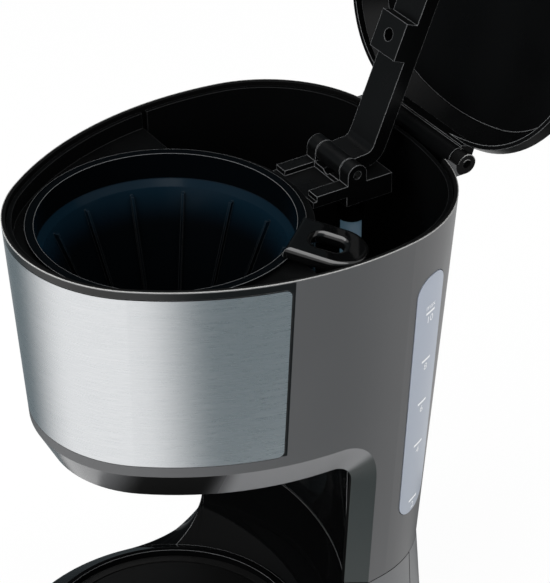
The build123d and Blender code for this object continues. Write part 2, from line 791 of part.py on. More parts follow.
def outlet_block():
    half = BLOCK_HALF_WIDTH
    cheek = SPOUT_WIDTH / 2 + CHEEK_GAP
    hub_room = SPOUT_HUB_R + CHEEK_GAP
    front = TANK_ARC_R + TANK_WALL + CLEAR
    duct_z = BLOCK_TOP - TANK_WALL - RISER_BORE
    duct_low = duct_z - SPOUT_DUCT - TANK_WALL
    bridge_low = DECK_Z - DECK_THICK - BRIDGE_THICK
    block = box((-half, half), (SPOUT_Y - hub_room, BLOCK_BACK_Y), (duct_low, BLOCK_TOP))
    block += upright(RISER_R + SOCKET_WALL, BLOCK_BOTTOM, duct_z, 0, RISER_Y)
    block += box((-half, half), (front, SPOUT_Y), (bridge_low, DECK_Z - DECK_THICK))
    for x in ((-half, -cheek), (cheek, half)):
        block += across(CHEEK_R, SPOUT_Y, SPOUT_Z, *x)
        block += box(x, (SPOUT_Y - CHEEK_R, SPOUT_Y + CHEEK_R), (duct_low, SPOUT_Z))
        block += box(x, (front + TANK_WALL, SPOUT_Y), (bridge_low, BLOCK_TOP))
    block -= across(hub_room, SPOUT_Y, SPOUT_Z, -cheek, cheek)
    block -= upright(RISER_R + HOSE_FIT, BLOCK_BOTTOM - OVERCUT, BLOCK_BOTTOM + SOCKET_DEPTH, 0, RISER_Y)
    block -= upright(RISER_BORE, BLOCK_BOTTOM, BLOCK_TOP - TANK_WALL, 0, RISER_Y)
    block -= rod(SPOUT_DUCT, (0, RISER_Y, duct_z), (0, SPOUT_Y - hub_room, SPOUT_Z - hub_room + SPOUT_DUCT))
    block -= across(HINGE_PIN_R + PIN_SEAT, SPOUT_Y, SPOUT_Z, -FAR, FAR)
    return block


# Water path

def riser_tube():
    low = TANK_FLOOR + TANK_WALL
    return upright_tube(RISER_R, RISER_BORE, low, BLOCK_BOTTOM + SOCKET_DEPTH, 0, RISER_Y)


def heater_top():
    """The level under the heat spreader that the heater's pieces are clamped against."""
    return PLATE_TOP - PLATE_THICK - SPREADER_THICK - 2 * TOUCH


def tube_z():
    return heater_top() - TUBE_R


def element_z():
    return heater_top() - ELEMENT_R


def bent_bar(radius, bend, end_y, z):
    """A round bar in a U under the hot plate, with both legs running back."""
    arch = CenterArc((0, TUBE_BEND_Y, z), bend, 180, 180)
    legs = [Line((x, TUBE_BEND_Y, z), (x, end_y, z)) for x in (-bend, bend)]
    pieces = [sweep(Plane(arch @ 0, z_dir=arch % 0) * Circle(radius), path=arch)]
    pieces += [rod(radius, leg @ 0, leg @ 1) for leg in legs]
    return Part() + pieces


def water_tube():
    outside = bent_bar(TUBE_R, TUBE_BEND, LEG_END_Y, tube_z())
    return outside - bent_bar(SPIGOT_BORE, TUBE_BEND, LEG_END_Y, tube_z())


def heating_element():
    bend = TUBE_BEND - TUBE_R - ELEMENT_R - TOUCH
    return bent_bar(ELEMENT_R, bend, ELEMENT_END_Y, element_z())


def hose(points):
    outer = RISER_R + HOSE_FIT + HOSE_WALL
    return pipe(outer, points, HOSE_BEND) - pipe(RISER_R + HOSE_FIT, points, HOSE_BEND)


def hose_top_z():
    return TANK_FLOOR - CLEAR


def cold_hose():
    z = tube_z()
    start = LEG_END_Y - HOSE_GRIP
    return hose([(-LEG_X, start, z), (-LEG_X, RISER_Y, z), (-LEG_X, RISER_Y, hose_top_z())])


def hot_hose():
    z = tube_z()
    start = LEG_END_Y - HOSE_GRIP
    turn = z + LEG_X
    return hose([(LEG_X, start, z), (LEG_X, RISER_Y, z), (0, RISER_Y, turn), (0, RISER_Y, hose_top_z())])


def hose_clamps():
    inner = RISER_R + HOSE_FIT + HOSE_WALL + TOUCH
    outer = inner + CLIP_WALL
    top = TANK_FLOOR - SPIGOT_LENGTH / 2
    grip = LEG_END_Y - HOSE_GRIP + CLIP_WIDTH / 2
    rings = [upright_tube(outer, inner, top, top + CLIP_WIDTH, x, RISER_Y) for x in (-LEG_X, 0)]
    for x in (-LEG_X, LEG_X):
        rings.append(tube(outer, inner, (x, grip, tube_z()), (x, grip + CLIP_WIDTH, tube_z())))
    return Compound(children=rings)


def check_cage():
    """A slotted cage over the tank's outlet that keeps the ball in."""
    low = TANK_FLOOR + TANK_WALL
    inside = BALL_R + BALL_LIFT / 2
    cage = upright(CAGE_R, low, low + CAGE_HEIGHT, -LEG_X, RISER_Y)
    cage -= upright(inside, low + CAGE_WALL, low + CAGE_HEIGHT - CAGE_WALL, -LEG_X, RISER_Y)
    cage -= upright(BALL_R * cos(radians(45)), low - OVERCUT, low + CAGE_WALL + OVERCUT, -LEG_X, RISER_Y)
    slot_z = (low + CAGE_WALL + TOUCH, low + CAGE_HEIGHT - CAGE_WALL)
    x_span = (-LEG_X - CAGE_R - OVERCUT, -LEG_X + CAGE_R + OVERCUT)
    return cage - box(x_span, (RISER_Y - BALL_R / 2, RISER_Y + BALL_R / 2), slot_z)


def check_ball():
    seat = TANK_FLOOR + TANK_WALL + CAGE_WALL
    rest = seat + BALL_R * cos(radians(45)) + TOUCH
    return Pos(-LEG_X, RISER_Y, rest) * Sphere(BALL_R)


# Base

def bevel_corner(inset):
    """Where the bevel beside the bay starts on the column's front, on the right, at the seam."""
    edge = OVAL_HALF_WIDTH + body_offset(SEAM_Z) - BAY_EDGE_IN
    return Vector(edge, BAY_BACK) + Vector(-BAY_EDGE_BACK, BAY_EDGE_IN).normalized() * inset


def bevel_cut(inset, low, high):
    """What the bevels beside the bay take off the front corners of the lower column."""
    along = Vector(BAY_EDGE_IN, BAY_EDGE_BACK)
    start = bevel_corner(inset) - along
    end = bevel_corner(inset) + along * 3
    corners = [start, end, end - Vector(0, FAR), start - Vector(0, FAR)]
    cut = Pos(0, 0, low) * extrude(make_face(Polyline(*corners, close=True)), high - low)
    return Part() + both_sides(cut)


def base_disc(inset):
    """The round front of the base, with its apron rising to the hot plate's collar."""
    edge = Pos(0, BASE_Y, 0) * Circle(BASE_R - inset)
    collar = Pos(0, PLATE_Y, COLLAR_Z - inset) * Circle(COLLAR_R - inset)
    drop = OVERCUT if inset else 0
    foot = extrude(Pos(0, 0, BASE_BOTTOM - drop) * edge, BASE_EDGE_Z - inset - BASE_BOTTOM + drop)
    return foot + loft([Pos(0, 0, BASE_EDGE_Z - inset) * edge, collar], ruled=True)


def column_foot(inset):
    """The lower column behind the jug, or its inside when inset by the wall."""
    spare = OVERCUT if inset else 0
    low, high = BASE_BOTTOM - spare, SEAM_Z - SEAM_GAP + spare
    foot = lower_block(low, high, -inset)
    clear_low = BASE_EDGE_Z - inset
    foot -= bay_hollow(inset, clear_low, FAR)
    return foot - bevel_cut(inset, clear_low, FAR)


def cove_profile(inset):
    """A hollow quarter round in the corner of a wall at X = 0 and the base's edge level."""
    radius = COVE_R + inset
    corner = Vector(-inset, 0, BASE_EDGE_Z - inset)
    on_wall = corner + Vector(0, 0, radius)
    on_floor = corner + Vector(radius, 0, 0)
    middle = corner + Vector(radius, 0, radius) - Vector(1, 0, 1).normalized() * radius
    hollow = ThreePointArc(on_wall, middle, on_floor)
    return make_face([Line(on_floor, corner), Line(corner, on_wall), hollow])


def coves(inset):
    """The sweep from the column's front down into the base."""
    corner = bevel_corner(0)
    hollow = revolve(Pos(BAY_ARC_R, 0, 0) * Rot(0, 0, 180) * cove_profile(inset), Axis.Z)
    hollow = Pos(0, BAY_DEPTH - BAY_ARC_R, 0) * hollow
    hollow &= box((-corner.X, corner.X), (0, FAR), (0, FAR))
    along = Vector(BAY_EDGE_IN, BAY_EDGE_BACK).normalized()
    bevel_plane = Plane(corner, x_dir=(along.Y, -along.X, 0), z_dir=(-along.X, -along.Y, 0))
    flat = bevel_plane * Rot(-90, 0, 0) * cove_profile(inset)
    bevel = extrude(flat, 2 * BAY_EDGE_BACK, dir=along)
    round_corner = Pos(corner.X, corner.Y, 0) * revolve(split(cove_profile(inset), Plane.YZ), Axis.Z)
    return hollow + both_sides(bevel) + both_sides(round_corner)


def lower_form(inset):
    """Base and lower column as one block, or their inside when inset by the wall."""
    spare = OVERCUT if inset else 0
    low, high = BASE_BOTTOM - spare, SEAM_Z - SEAM_GAP + spare
    plan = lower_block(low, high, -inset)
    plan += extrude(Pos(0, BASE_Y, low) * Circle(BASE_R - inset), high - low)
    return base_disc(inset) + column_foot(inset) + (coves(inset) & plan)


def lower_shell():
    """Base and rear cover before they are parted."""
    shell = lower_form(0) - lower_form(BASE_WALL)
    shell += upright(COLLAR_R, SHELF_Z - BASE_WALL, COLLAR_Z, y=PLATE_Y)
    shell -= upright(RECESS_R, SHELF_Z, COLLAR_Z + OVERCUT, y=PLATE_Y)
    return shell - upright(PLATE_HOLE_R, SHELF_Z - BASE_WALL - OVERCUT, SHELF_Z + OVERCUT, y=PLATE_Y)


def base_plate_top():
    return FOOT_HEIGHT + BASE_PLATE_THICK


def base_housing():
    shell = lower_shell() - box((-FAR, FAR), (REAR_SPLIT_Y - REAR_SPLIT_GAP / 2, FAR), (-FAR, FAR))
    inside = base_disc(BASE_WALL / 2)
    low = base_plate_top()
    for x in (-LEG_X, LEG_X):
        shell -= rod(TUBE_R + CLEAR, (x, PLATE_HOLE_R, tube_z()), (x, LEG_END_Y, tube_z()))
    for x in (-FRONT_BOSS_X, FRONT_BOSS_X):
        shell += upright(BOSS_R, low, COLLAR_Z, x, FRONT_BOSS_Y) & inside
        shell -= upright(SCREW_R + SCREW_FIT, low - OVERCUT, low + SCREW_LENGTH, x, FRONT_BOSS_Y)
    top = SEAM_Z - SEAM_GAP
    column = lower_block(low, top, -BASE_WALL / 2)
    for side in (-1, 1):
        x = side * POST_X
        rib = box(sorted((x, side * OVAL_HALF_WIDTH)), (POST_Y - WALL, POST_Y + WALL), (low, top)) & column
        shell += upright(POST_R, low, top, x, POST_Y) + rib
        shell -= upright(SCREW_HEAD_R + SCREW_FIT, low - OVERCUT, top - POST_CAP, x, POST_Y)
        shell -= upright(SCREW_R + SCREW_FIT, low, top + OVERCUT, x, POST_Y)
    return shell - switch_hole()


def rear_cover():
    cover = lower_shell() - box((-FAR, FAR), (-FAR, REAR_SPLIT_Y + REAR_SPLIT_GAP / 2), (-FAR, FAR))
    low = base_plate_top()
    column = lower_block(low, low + REAR_BOSS_HEIGHT, -BASE_WALL / 2)
    for x in (-REAR_BOSS_X, REAR_BOSS_X):
        rib = box((x - WALL, x + WALL), (REAR_BOSS_Y, OVAL_BACK), (low, low + REAR_BOSS_HEIGHT)) & column
        cover += upright(BOSS_R, low, low + REAR_BOSS_HEIGHT, x, REAR_BOSS_Y) + rib
        cover -= upright(SCREW_R + SCREW_FIT, low - OVERCUT, low + SCREW_LENGTH, x, REAR_BOSS_Y)
    return cover - rod(GLAND_R + SCREW_FIT, (GLAND_X, REAR_BOSS_Y, GLAND_Z), (GLAND_X, FAR, GLAND_Z))


def screw_places():
    front = [(x, FRONT_BOSS_Y) for x in (-FRONT_BOSS_X, FRONT_BOSS_X)]
    return front + [(x, REAR_BOSS_Y) for x in (-REAR_BOSS_X, REAR_BOSS_X)]


def base_plate():
    low, high = FOOT_HEIGHT, base_plate_top()
    gap = BASE_WALL + CLEAR
    outline = Pos(0, BASE_Y) * Circle(BASE_R - gap) + oval(body_offset(high) - gap, 0)
    for x, y in screw_places():
        outline -= Pos(x, y) * Circle(SCREW_R + SCREW_FIT)
    return Pos(0, 0, low) * extrude(outline, BASE_PLATE_THICK)


def base_screws():
    length = BASE_PLATE_THICK + SCREW_LENGTH - OVERCUT
    return Part() + [screw(FOOT_HEIGHT, x, y, length) for x, y in screw_places()]


def column_screws():
    seat = SEAM_Z - SEAM_GAP - POST_CAP
    return Compound(children=[screw(seat, x, POST_Y, SCREW_LENGTH - OVERCUT) for x in (-POST_X, POST_X)])


def rubber_feet():
    return Compound(children=[upright(FOOT_R, 0, FOOT_HEIGHT, x, y) for x, y in FOOT_PLACES])


def hot_plate():
    plate = upright(PLATE_R, PLATE_TOP - PLATE_THICK, PLATE_TOP, y=PLATE_Y)
    return fillet(plate.edges().sort_by(Axis.Z)[-1], PLATE_THICK / 2)


def heat_spreader():
    """The aluminium plate that carries the heat from the bent tubes to the hot plate."""
    top = PLATE_TOP - PLATE_THICK - TOUCH
    return upright(SPREADER_R, top - SPREADER_THICK, top, y=PLATE_Y)


def plate_seal():
    """A soft ring that carries the hot plate's edge in the base."""
    low = SHELF_Z
    under = PLATE_TOP - PLATE_THICK
    ring = upright_tube(RECESS_R - TOUCH, PLATE_HOLE_R, low, under, y=PLATE_Y)
    lip = upright_tube(RECESS_R - TOUCH, PLATE_R + TOUCH, low, PLATE_TOP, y=PLATE_Y)
    return ring + lip


def strap_top():
    return tube_z() - TUBE_R - TOUCH


def heater_clamp():
    reach = TUBE_BEND + TUBE_R
    top = strap_top()
    y_span = (STRAP_Y - STRAP_WIDTH / 2, STRAP_Y + STRAP_WIDTH / 2)
    strap = box((-reach, reach), y_span, (top - STRAP_THICK, top))
    stud_top = heater_top()
    strap += upright_tube(BOSS_R, SCREW_R + SCREW_FIT, top, stud_top, y=STRAP_Y)
    return strap - upright(SCREW_R + SCREW_FIT, top - STRAP_THICK - OVERCUT, top + OVERCUT, y=STRAP_Y)


def clamp_screw():
    seat = strap_top() - STRAP_THICK
    return screw(seat, 0, STRAP_Y, heater_top() - seat)


def thermostat():
    top = heater_top()
    body = upright(THERMOSTAT_R, top - THERMOSTAT_HEIGHT, top, y=THERMOSTAT_Y)
    tab_z = (top - 2 * THERMOSTAT_HEIGHT, top - THERMOSTAT_HEIGHT)
    for x in (-THERMOSTAT_R / 2, THERMOSTAT_R / 2):
        x_span = (x - STRAP_THICK / 2, x + STRAP_THICK / 2)
        body += box(x_span, (THERMOSTAT_Y - WALL, THERMOSTAT_Y + WALL), tab_z)
    return body


def thermal_fuses():
    x = TUBE_BEND + TUBE_R + TOUCH + FUSE_R
    fuse = rod(FUSE_R, (x, STRAP_Y, tube_z()), (x, STRAP_Y + FUSE_LENGTH, tube_z()))
    return Compound(children=both_sides(fuse))


def cord_gland():
    """The bush in the rear cover that a mains lead would pass through."""
    wall_y = gland_wall_y()
    inner_end = (GLAND_X, wall_y - 2 * BASE_WALL, GLAND_Z)
    bush = rod(GLAND_R, inner_end, (GLAND_X, wall_y + GLAND_FLANGE_THICK, GLAND_Z))
    start = (GLAND_X, wall_y, GLAND_Z)
    bush += rod(GLAND_R + GLAND_FLANGE, start, (GLAND_X, wall_y + GLAND_FLANGE_THICK, GLAND_Z))
    return bush - rod(GLAND_BORE, (GLAND_X, 0, GLAND_Z), (GLAND_X, FAR, GLAND_Z))


def gland_wall_y():
    """The furthest back that the rear cover reaches behind the gland's flange."""
    low = GLAND_Z - GLAND_R - GLAND_FLANGE
    radius = BACK_R + body_offset(low)
    inner_x = GLAND_X - GLAND_R - GLAND_FLANGE
    return OVAL_BACK - BACK_R + sqrt(radius**2 - inner_x**2) + CLEAR


# Switch

def switch_face_y():
    return BASE_Y - BASE_R - CLEAR / 2


def switch_block(grow, y):
    half_width = SWITCH_WIDTH / 2 + grow
    half_height = SWITCH_HEIGHT / 2 + grow
    return box((-half_width, half_width), y, (SWITCH_Z - half_height, SWITCH_Z + half_height))


def switch_hole():
    return switch_block(SWITCH_FIT, (-FAR, BASE_Y - BASE_R + 2 * BASE_WALL))


def rocker_axis_y():
    return switch_face_y() + ROCKER_PIN_R


def switch_housing():
    face = switch_face_y()
    body = switch_block(0, (face, face + SWITCH_DEPTH))
    body += switch_block(SWITCH_FLANGE, (face - SWITCH_FLANGE_THICK, face))
    mouth = face - SWITCH_FLANGE_THICK - OVERCUT
    body -= switch_block(-SWITCH_WALL, (mouth, face + SWITCH_DEPTH - SWITCH_WALL))
    half = SWITCH_WIDTH / 2
    hole = across(ROCKER_PIN_R + ROCKER_PIN_RUNNING, rocker_axis_y(), SWITCH_Z, -half, half)
    return body - hole


def rocker():
    half_width = SWITCH_WIDTH / 2 - SWITCH_WALL - ROCKER_FIT
    half_height = SWITCH_HEIGHT / 2 - SWITCH_WALL - 2 * ROCKER_FIT
    y = rocker_axis_y()
    proud = SWITCH_FLANGE_THICK + 2 * ROCKER_PIN_R
    dip = half_height * tan(radians(ROCKER_TILT))
    points = [
        (y - proud, SWITCH_Z + half_height),
        (y - proud + dip, SWITCH_Z),
        (y - proud, SWITCH_Z - half_height),
        (y, SWITCH_Z - half_height),
        (y + ROCKER_DEPTH, SWITCH_Z),
        (y, SWITCH_Z + half_height),
    ]
    body = extrude(Plane.YZ * make_face(Polyline(*points, close=True)), half_width, both=True)
    body += across(ROCKER_PIN_R, y, SWITCH_Z, -SWITCH_WIDTH / 2, SWITCH_WIDTH / 2)
    return turned(body, ROCKER_TILT, y, SWITCH_Z)


PIECES = [
    upper_housing, steel_wrap, level_window, bay_liner, water_tank, basket_well,
    filter_basket, basket_handle, drip_plunger, drip_seal, drip_spring,
    lid_shell, lid_panel, hinge_pin, spout_arm, spout_pin, outlet_block,
    riser_tube, water_tube, heating_element, cold_hose, hot_hose, hose_clamps, check_cage, check_ball,
    base_housing, rear_cover, base_plate, base_screws, column_screws, rubber_feet,
    hot_plate, heat_spreader, plate_seal, heater_clamp, clamp_screw, thermostat, thermal_fuses, cord_gland,
    switch_housing, rocker,
]

os.makedirs("parts", exist_ok=True)
for make_piece in PIECES:
    placed = Pos(0, BASKET_Y, 0) * make_piece()
    export_step(placed, f"parts/{make_piece.__name__}.step")
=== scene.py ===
import json
import math

import bpy
from bpy.props import FloatProperty, FloatVectorProperty, IntProperty, PointerProperty
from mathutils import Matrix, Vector
from mathutils.bvhtree import BVHTree


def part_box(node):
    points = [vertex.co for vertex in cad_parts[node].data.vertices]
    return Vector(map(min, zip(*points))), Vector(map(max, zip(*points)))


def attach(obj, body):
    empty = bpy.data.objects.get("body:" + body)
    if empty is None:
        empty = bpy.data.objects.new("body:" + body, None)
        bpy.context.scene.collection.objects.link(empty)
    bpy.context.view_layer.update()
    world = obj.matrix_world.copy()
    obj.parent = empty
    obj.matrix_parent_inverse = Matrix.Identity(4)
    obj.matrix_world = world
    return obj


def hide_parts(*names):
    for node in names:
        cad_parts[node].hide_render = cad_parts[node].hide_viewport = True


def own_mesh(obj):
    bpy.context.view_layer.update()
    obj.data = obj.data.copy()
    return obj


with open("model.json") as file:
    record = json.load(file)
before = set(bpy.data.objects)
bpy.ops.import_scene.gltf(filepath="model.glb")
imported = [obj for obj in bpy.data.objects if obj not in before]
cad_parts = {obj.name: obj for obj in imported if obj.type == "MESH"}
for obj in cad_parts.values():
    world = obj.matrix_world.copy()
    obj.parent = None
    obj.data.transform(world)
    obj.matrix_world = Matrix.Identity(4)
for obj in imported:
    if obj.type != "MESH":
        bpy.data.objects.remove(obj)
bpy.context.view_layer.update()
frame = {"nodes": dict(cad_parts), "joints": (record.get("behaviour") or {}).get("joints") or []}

bl_info = {
    "name": "Drip Coffee Maker Finishes",
    "version": (1, 0, 0),
    "blender": (4, 5, 0),
    "location": "View3D > Sidebar > Coffee Maker",
    "description": "Finishes, printed marks, moulded trim and a studio for a packed drip coffee maker",
    "category": "Object",
}

IMAGE_HEIGHT = 583
SENSOR_WIDTH = 36.0
CARD_LIFT = 0.0006
JOINTS = {joint["name"]: joint for joint in frame["joints"]}

# Darkest and lightest share of a colour where it clouds or is dusty
CLOUDED = (0.94, 1.06)
DUSTY = (0.85, 1.2)

# Where a face begins and is fully taken to point a way, as a part of its normal
FACES_DOWN = (0.25, 0.35)
FACES_FRONT = (0.3, 0.45)
FACES_UP = (0.7, 0.9)

# The same for ways away from the body's middle, as a part of its normal times metres
FACES_OUT = (0.0, 0.01)
FACES_IN = (0.01, 0.02)
FACES_SIDEWAYS = (0.03, 0.04)

# Where an edge begins and is fully taken to be rounded, for the painted highlights along edges
EDGE_TURN = (0.03, 0.25)

WHITE = (1.0, 1.0, 1.0, 1.0)


# Shader expressions

def feed(tree, socket, value):
    """Links a Value to a socket, or sets the socket to a plain number, colour or vector."""
    if isinstance(value, Value):
        tree.links.new(value.socket, socket)
    else:
        socket.default_value = value


class Value:
    """A shader socket that takes part in Python expressions."""

    def __init__(self, tree, socket):
        self.tree = tree
        self.socket = socket

    def maths(self, operation, *operands):
        node = self.tree.nodes.new("ShaderNodeMath")
        node.operation = operation
        for socket, operand in zip(node.inputs, operands):
            feed(self.tree, socket, operand)
        return Value(self.tree, node.outputs[0])

    def __add__(self, other):
        return self.maths("ADD", self, other)

    def __radd__(self, other):
        return self.maths("ADD", other, self)

    def __sub__(self, other):
        return self.maths("SUBTRACT", self, other)

    def __rsub__(self, other):
        return self.maths("SUBTRACT", other, self)

    def __mul__(self, other):
        return self.maths("MULTIPLY", self, other)

    def __rmul__(self, other):
        return self.maths("MULTIPLY", other, self)

    def __neg__(self):
        return self.maths("MULTIPLY", self, -1.0)


class Finish:
    """A node tree for one surface, with one method that adds any node to it."""

    def __init__(self, tree):
        self.tree = tree
        tree.nodes.clear()

    def node(self, kind, settings=None, values=None, output=0):
        node = self.tree.nodes.new(kind)
        for name, setting in (settings or {}).items():
            setattr(node, name, setting)
        for name, value in (values or {}).items():
            feed(self.tree, node.inputs[name], value)
        return Value(self.tree, node.outputs[output]) if node.outputs else None

    def place(self):
        """Where a point lies in the frame when the machine is at rest."""
        return self.node("ShaderNodeTexCoord", output="Object")

    def parts(self, vector):
        """The three numbers of a vector."""
        split = self.node("ShaderNodeSeparateXYZ", values={"Vector": vector})
        return [Value(self.tree, socket) for socket in split.socket.node.outputs]

    def joined(self, x, y, z):
        return self.node("ShaderNodeCombineXYZ", values={"X": x, "Y": y, "Z": z})

    def noise(self, vector, scale, detail=2.0, roughness=0.5):
        values = {"Vector": vector, "Scale": scale, "Detail": detail, "Roughness": roughness}
        return self.node("ShaderNodeTexNoise", values=values)

    def step(self, value, low, high):
        """Nought below low, one above high and smooth between."""
        settings = {"interpolation_type": "SMOOTHSTEP"}
        values = {"Value": value, "From Min": low, "From Max": high}
        return self.node("ShaderNodeMapRange", settings, values)

    def blend(self, amount, first, second):
        """A colour between two."""
        settings = {"data_type": "RGBA"}
        return self.node("ShaderNodeMix", settings, {0: amount, 6: first, 7: second}, output=2)

    def bump(self, height, strength, distance, edge=0.0):
        """A normal from a height, over edges that look rounded by a radius."""
        values = {"Height": height, "Strength": strength, "Distance": distance}
        if edge:
            values["Normal"] = self.node("ShaderNodeBevel", {"samples": 6}, {"Radius": edge})
        return self.node("ShaderNodeBump", values=values)

    def edges(self, radius):
        """One along the edges of a moulding, where a painted highlight goes."""
        rounded = self.node("ShaderNodeBevel", {"samples": 8}, {"Radius": radius})
        flat = self.node("ShaderNodeNewGeometry", output="Normal")
        settings = {"operation": "DOT_PRODUCT"}
        likeness = self.node("ShaderNodeVectorMath", settings, {0: rounded, 1: flat}, "Value")
        return self.step(1.0 - likeness, *EDGE_TURN)

    def outwards(self, normal, place, middle):
        """How far a normal points away from the upright line through a middle, times the distance from it."""
        x, y = self.parts(place)[:2]
        across, along = self.parts(normal)[:2]
        return across * x + along * (y - middle)

    def clouded(self, amount, colour, shares=CLOUDED):
        """A colour that wanders between two shares of itself."""
        return self.blend(amount, rgba(colour, shares[0]), rgba(colour, shares[1]))

    def root(self, value):
        return self.node("ShaderNodeMath", {"operation": "SQRT"}, {0: value})

    def sine(self, value):
        return self.node("ShaderNodeMath", {"operation": "SINE"}, {0: value})

    def turn(self, across, ahead):
        """The angle of a direction on the floor."""
        return self.node("ShaderNodeMath", {"operation": "ARCTAN2"}, {0: across, 1: ahead})

    def larger(self, first, second):
        return self.node("ShaderNodeMath", {"operation": "MAXIMUM"}, {0: first, 1: second})

    def surface(self, values, mask=None, others=None):
        """One finish, or two with a mask that is one where the second shows."""
        shader = self.node("ShaderNodeBsdfPrincipled", values=values)
        if mask:
            second = self.node("ShaderNodeBsdfPrincipled", values=others)
            shader = self.node("ShaderNodeMixShader", values={0: mask, 1: shader, 2: second})
        self.node("ShaderNodeOutputMaterial", values={"Surface": shader})


def new_finish(name):
    """A fresh material and the tree that its nodes go into."""
    material = bpy.data.materials.new(name)
    material.use_nodes = True
    return material, Finish(material.node_tree)


def rgba(colour, shade=1.0):
    return (colour[0] * shade, colour[1] * shade, colour[2] * shade, 1.0)


def dress(material, *names):
    """Puts a material on CAD nodes."""
    for name in names:
        slots = frame["nodes"][name].data.materials
        slots.clear()
        slots.append(material)


# Finishes

def satin_plastic(name, colour, looks):
    """A fine-grained moulding whose bevels are polished, with painted shade inside, round the steel and on
    the bevel's sides, painted light on the bevel under the head, and a painted highlight along the rim.
    """
    material, finish = new_finish(name)
    place = finish.place()
    y, z = finish.parts(place)[1:]
    cloud = finish.noise(place, looks.cloud_scale, 3.0)
    grain = finish.noise(place, looks.grain_scale, 2.0)
    normal = finish.node("ShaderNodeNewGeometry", output="Normal")
    facing = finish.parts(normal)
    body_low, body_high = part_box("upper_housing")
    middle = (body_low[1] + body_high[1]) / 2

    # Painted shade: the inside is painted black. The ears at the hinge and the top of the rim are black too.
    inner = finish.step(-finish.outwards(normal, place, middle), *FACES_IN)
    hinge = Vector(JOINTS["lid_hinge"]["pos_m"])
    behind, over = y - hinge.y, z - hinge.z
    reach = finish.root(behind * behind + over * over)
    ear = 1.0 - finish.step(reach, looks.ear_reach, looks.ear_reach + looks.paint_edge)
    top = finish.step(facing[2], *FACES_UP)
    top = top * finish.step(z, looks.frame_top, looks.frame_top + looks.paint_edge)

    # Painted shade: a black band round the steel that stands for the dark gap there
    steel_low, steel_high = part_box("steel_wrap")
    gap_shade_end = steel_high[1] + looks.gap_shade_width
    beside = 1.0 - finish.step(y, gap_shade_end - looks.frame_edge, gap_shade_end)
    above = finish.step(z, steel_low[2], steel_low[2] + looks.paint_edge)
    below = 1.0 - finish.step(z, looks.frame_top, looks.frame_top + looks.frame_edge)
    painted_gap_shade = beside * (above * below)

    # The bevel under the head, with painted light in front and behind and black painted shade at its sides,
    # and the column's bevel, painted dark as painted shade
    under = finish.step(-facing[2], *FACES_DOWN)
    rear = finish.step(y, looks.bevel_end - looks.bevel_fade, looks.bevel_end)
    front = 1.0 - finish.step(y, looks.bevel_start, looks.bevel_start + looks.bevel_fade)
    # Painted light lifts the bevel's front and back, and painted shade blackens its sides
    lit = under * (rear + looks.front_painted_light * front)
    dark = under * (1.0 - rear - front)
    # Painted shade: the column's bevel is painted dark
    column = finish.step(-facing[1], *FACES_FRONT)
    column = column * finish.step(y, looks.column_start, looks.column_start + looks.column_fade)
    tone = finish.blend(lit, finish.clouded(cloud, colour), rgba(colour, looks.bevel_painted_light))
    tone = finish.blend(column, tone, rgba(looks.facet_painted_shade))
    tone = finish.blend(painted_gap_shade, tone, rgba(looks.black_and_painted_shade))

    # A painted highlight along the rim's rounded edge
    rounded = finish.node("ShaderNodeBevel", {"samples": 6}, {"Radius": looks.rim_round})
    outer = finish.step(finish.outwards(rounded, place, middle), *FACES_OUT)
    rim = outer * finish.edges(looks.rim_round)
    rim = rim * finish.step(z, looks.frame_top, looks.frame_top + looks.frame_edge)

    polish = finish.larger(under * (1.0 - rear), painted_gap_shade)
    satin = looks.roughness + looks.cloud_roughness * cloud
    relief = finish.bump(grain, looks.grain_strength, looks.grain_depth, looks.edge_round)
    # Black finish for the painted shade inside and on the bevel's sides, and for the ears and the rim's top
    black = finish.larger(dark + ear, finish.larger(top, inner))
    finish.surface({
        "Base Color": finish.blend(rim, tone, rgba(looks.rim_highlight)),
        "Roughness": satin - polish * (looks.roughness - looks.bevel_roughness),
        "Normal": relief,
    }, black, {
        "Base Color": finish.blend(rim, rgba(looks.black_and_painted_shade), rgba(looks.rim_highlight)),
        "Roughness": satin,
        "Specular IOR Level": looks.inside_shine,
        "Normal": relief,
    })
    return material


def brushed_steel(name, looks):
    """Sheet steel with a long horizontal brush around the wrap."""
    material, finish = new_finish(name)
    x, y, z = finish.parts(finish.place())
    wrap_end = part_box("steel_wrap")[1][1]
    along = finish.turn(x, wrap_end - y) * looks.wrap_radius * looks.brush_along
    across = z * looks.brush_across
    fine = finish.noise(finish.joined(along, across, 0.0), 1.0, 3.0)
    elsewhere = finish.joined(along * looks.broad_along, across * looks.broad_across, 4.0)
    broad = finish.noise(elsewhere, 1.0, 2.0)
    streak = finish.step((1.0 - looks.broad_share) * fine + looks.broad_share * broad, 0.3, 0.7)
    finish.surface({
        "Base Color": finish.blend(streak, rgba(looks.dark_line), rgba(looks.bright_line)),
        "Metallic": 1.0,
        "Roughness": looks.roughness + looks.roughness_spread * streak,
        "Anisotropic": looks.anisotropy,
        "Anisotropic Rotation": 0.25,
        "Normal": finish.bump(fine, 0.05, 0.0001),
    })
    return material


def black_values(finish, looks, colour, roughness, shine, edge_highlight):
    """Sockets of a black moulding with rounded edges that carry a painted highlight, a shallow orange peel
    and faint wipe marks.
    """
    place = finish.place()
    peel = finish.noise(place, looks.peel_scale, 2.0)
    wipe = finish.noise(place, looks.wipe_scale, 4.0, 0.6)
    tone = colour
    if not isinstance(colour, Value):
        tone = finish.clouded(wipe, colour, DUSTY)
    # Painted highlight: a lighter colour along the edges
    light = finish.edges(looks.edge_round) * edge_highlight
    return {
        "Base Color": finish.blend(light, tone, rgba(looks.edge_highlight_colour)),
        "Roughness": roughness * (0.8 + 0.4 * finish.step(wipe, 0.35, 0.7)),
        "Specular IOR Level": shine,
        "Normal": finish.bump(peel, looks.peel_strength, 0.0006, looks.edge_round),
    }


def polished_black(name, looks, roughness, shine, edge_highlight):
    material, finish = new_finish(name)
    finish.surface(black_values(finish, looks, looks.colour, roughness, shine, edge_highlight))
    return material


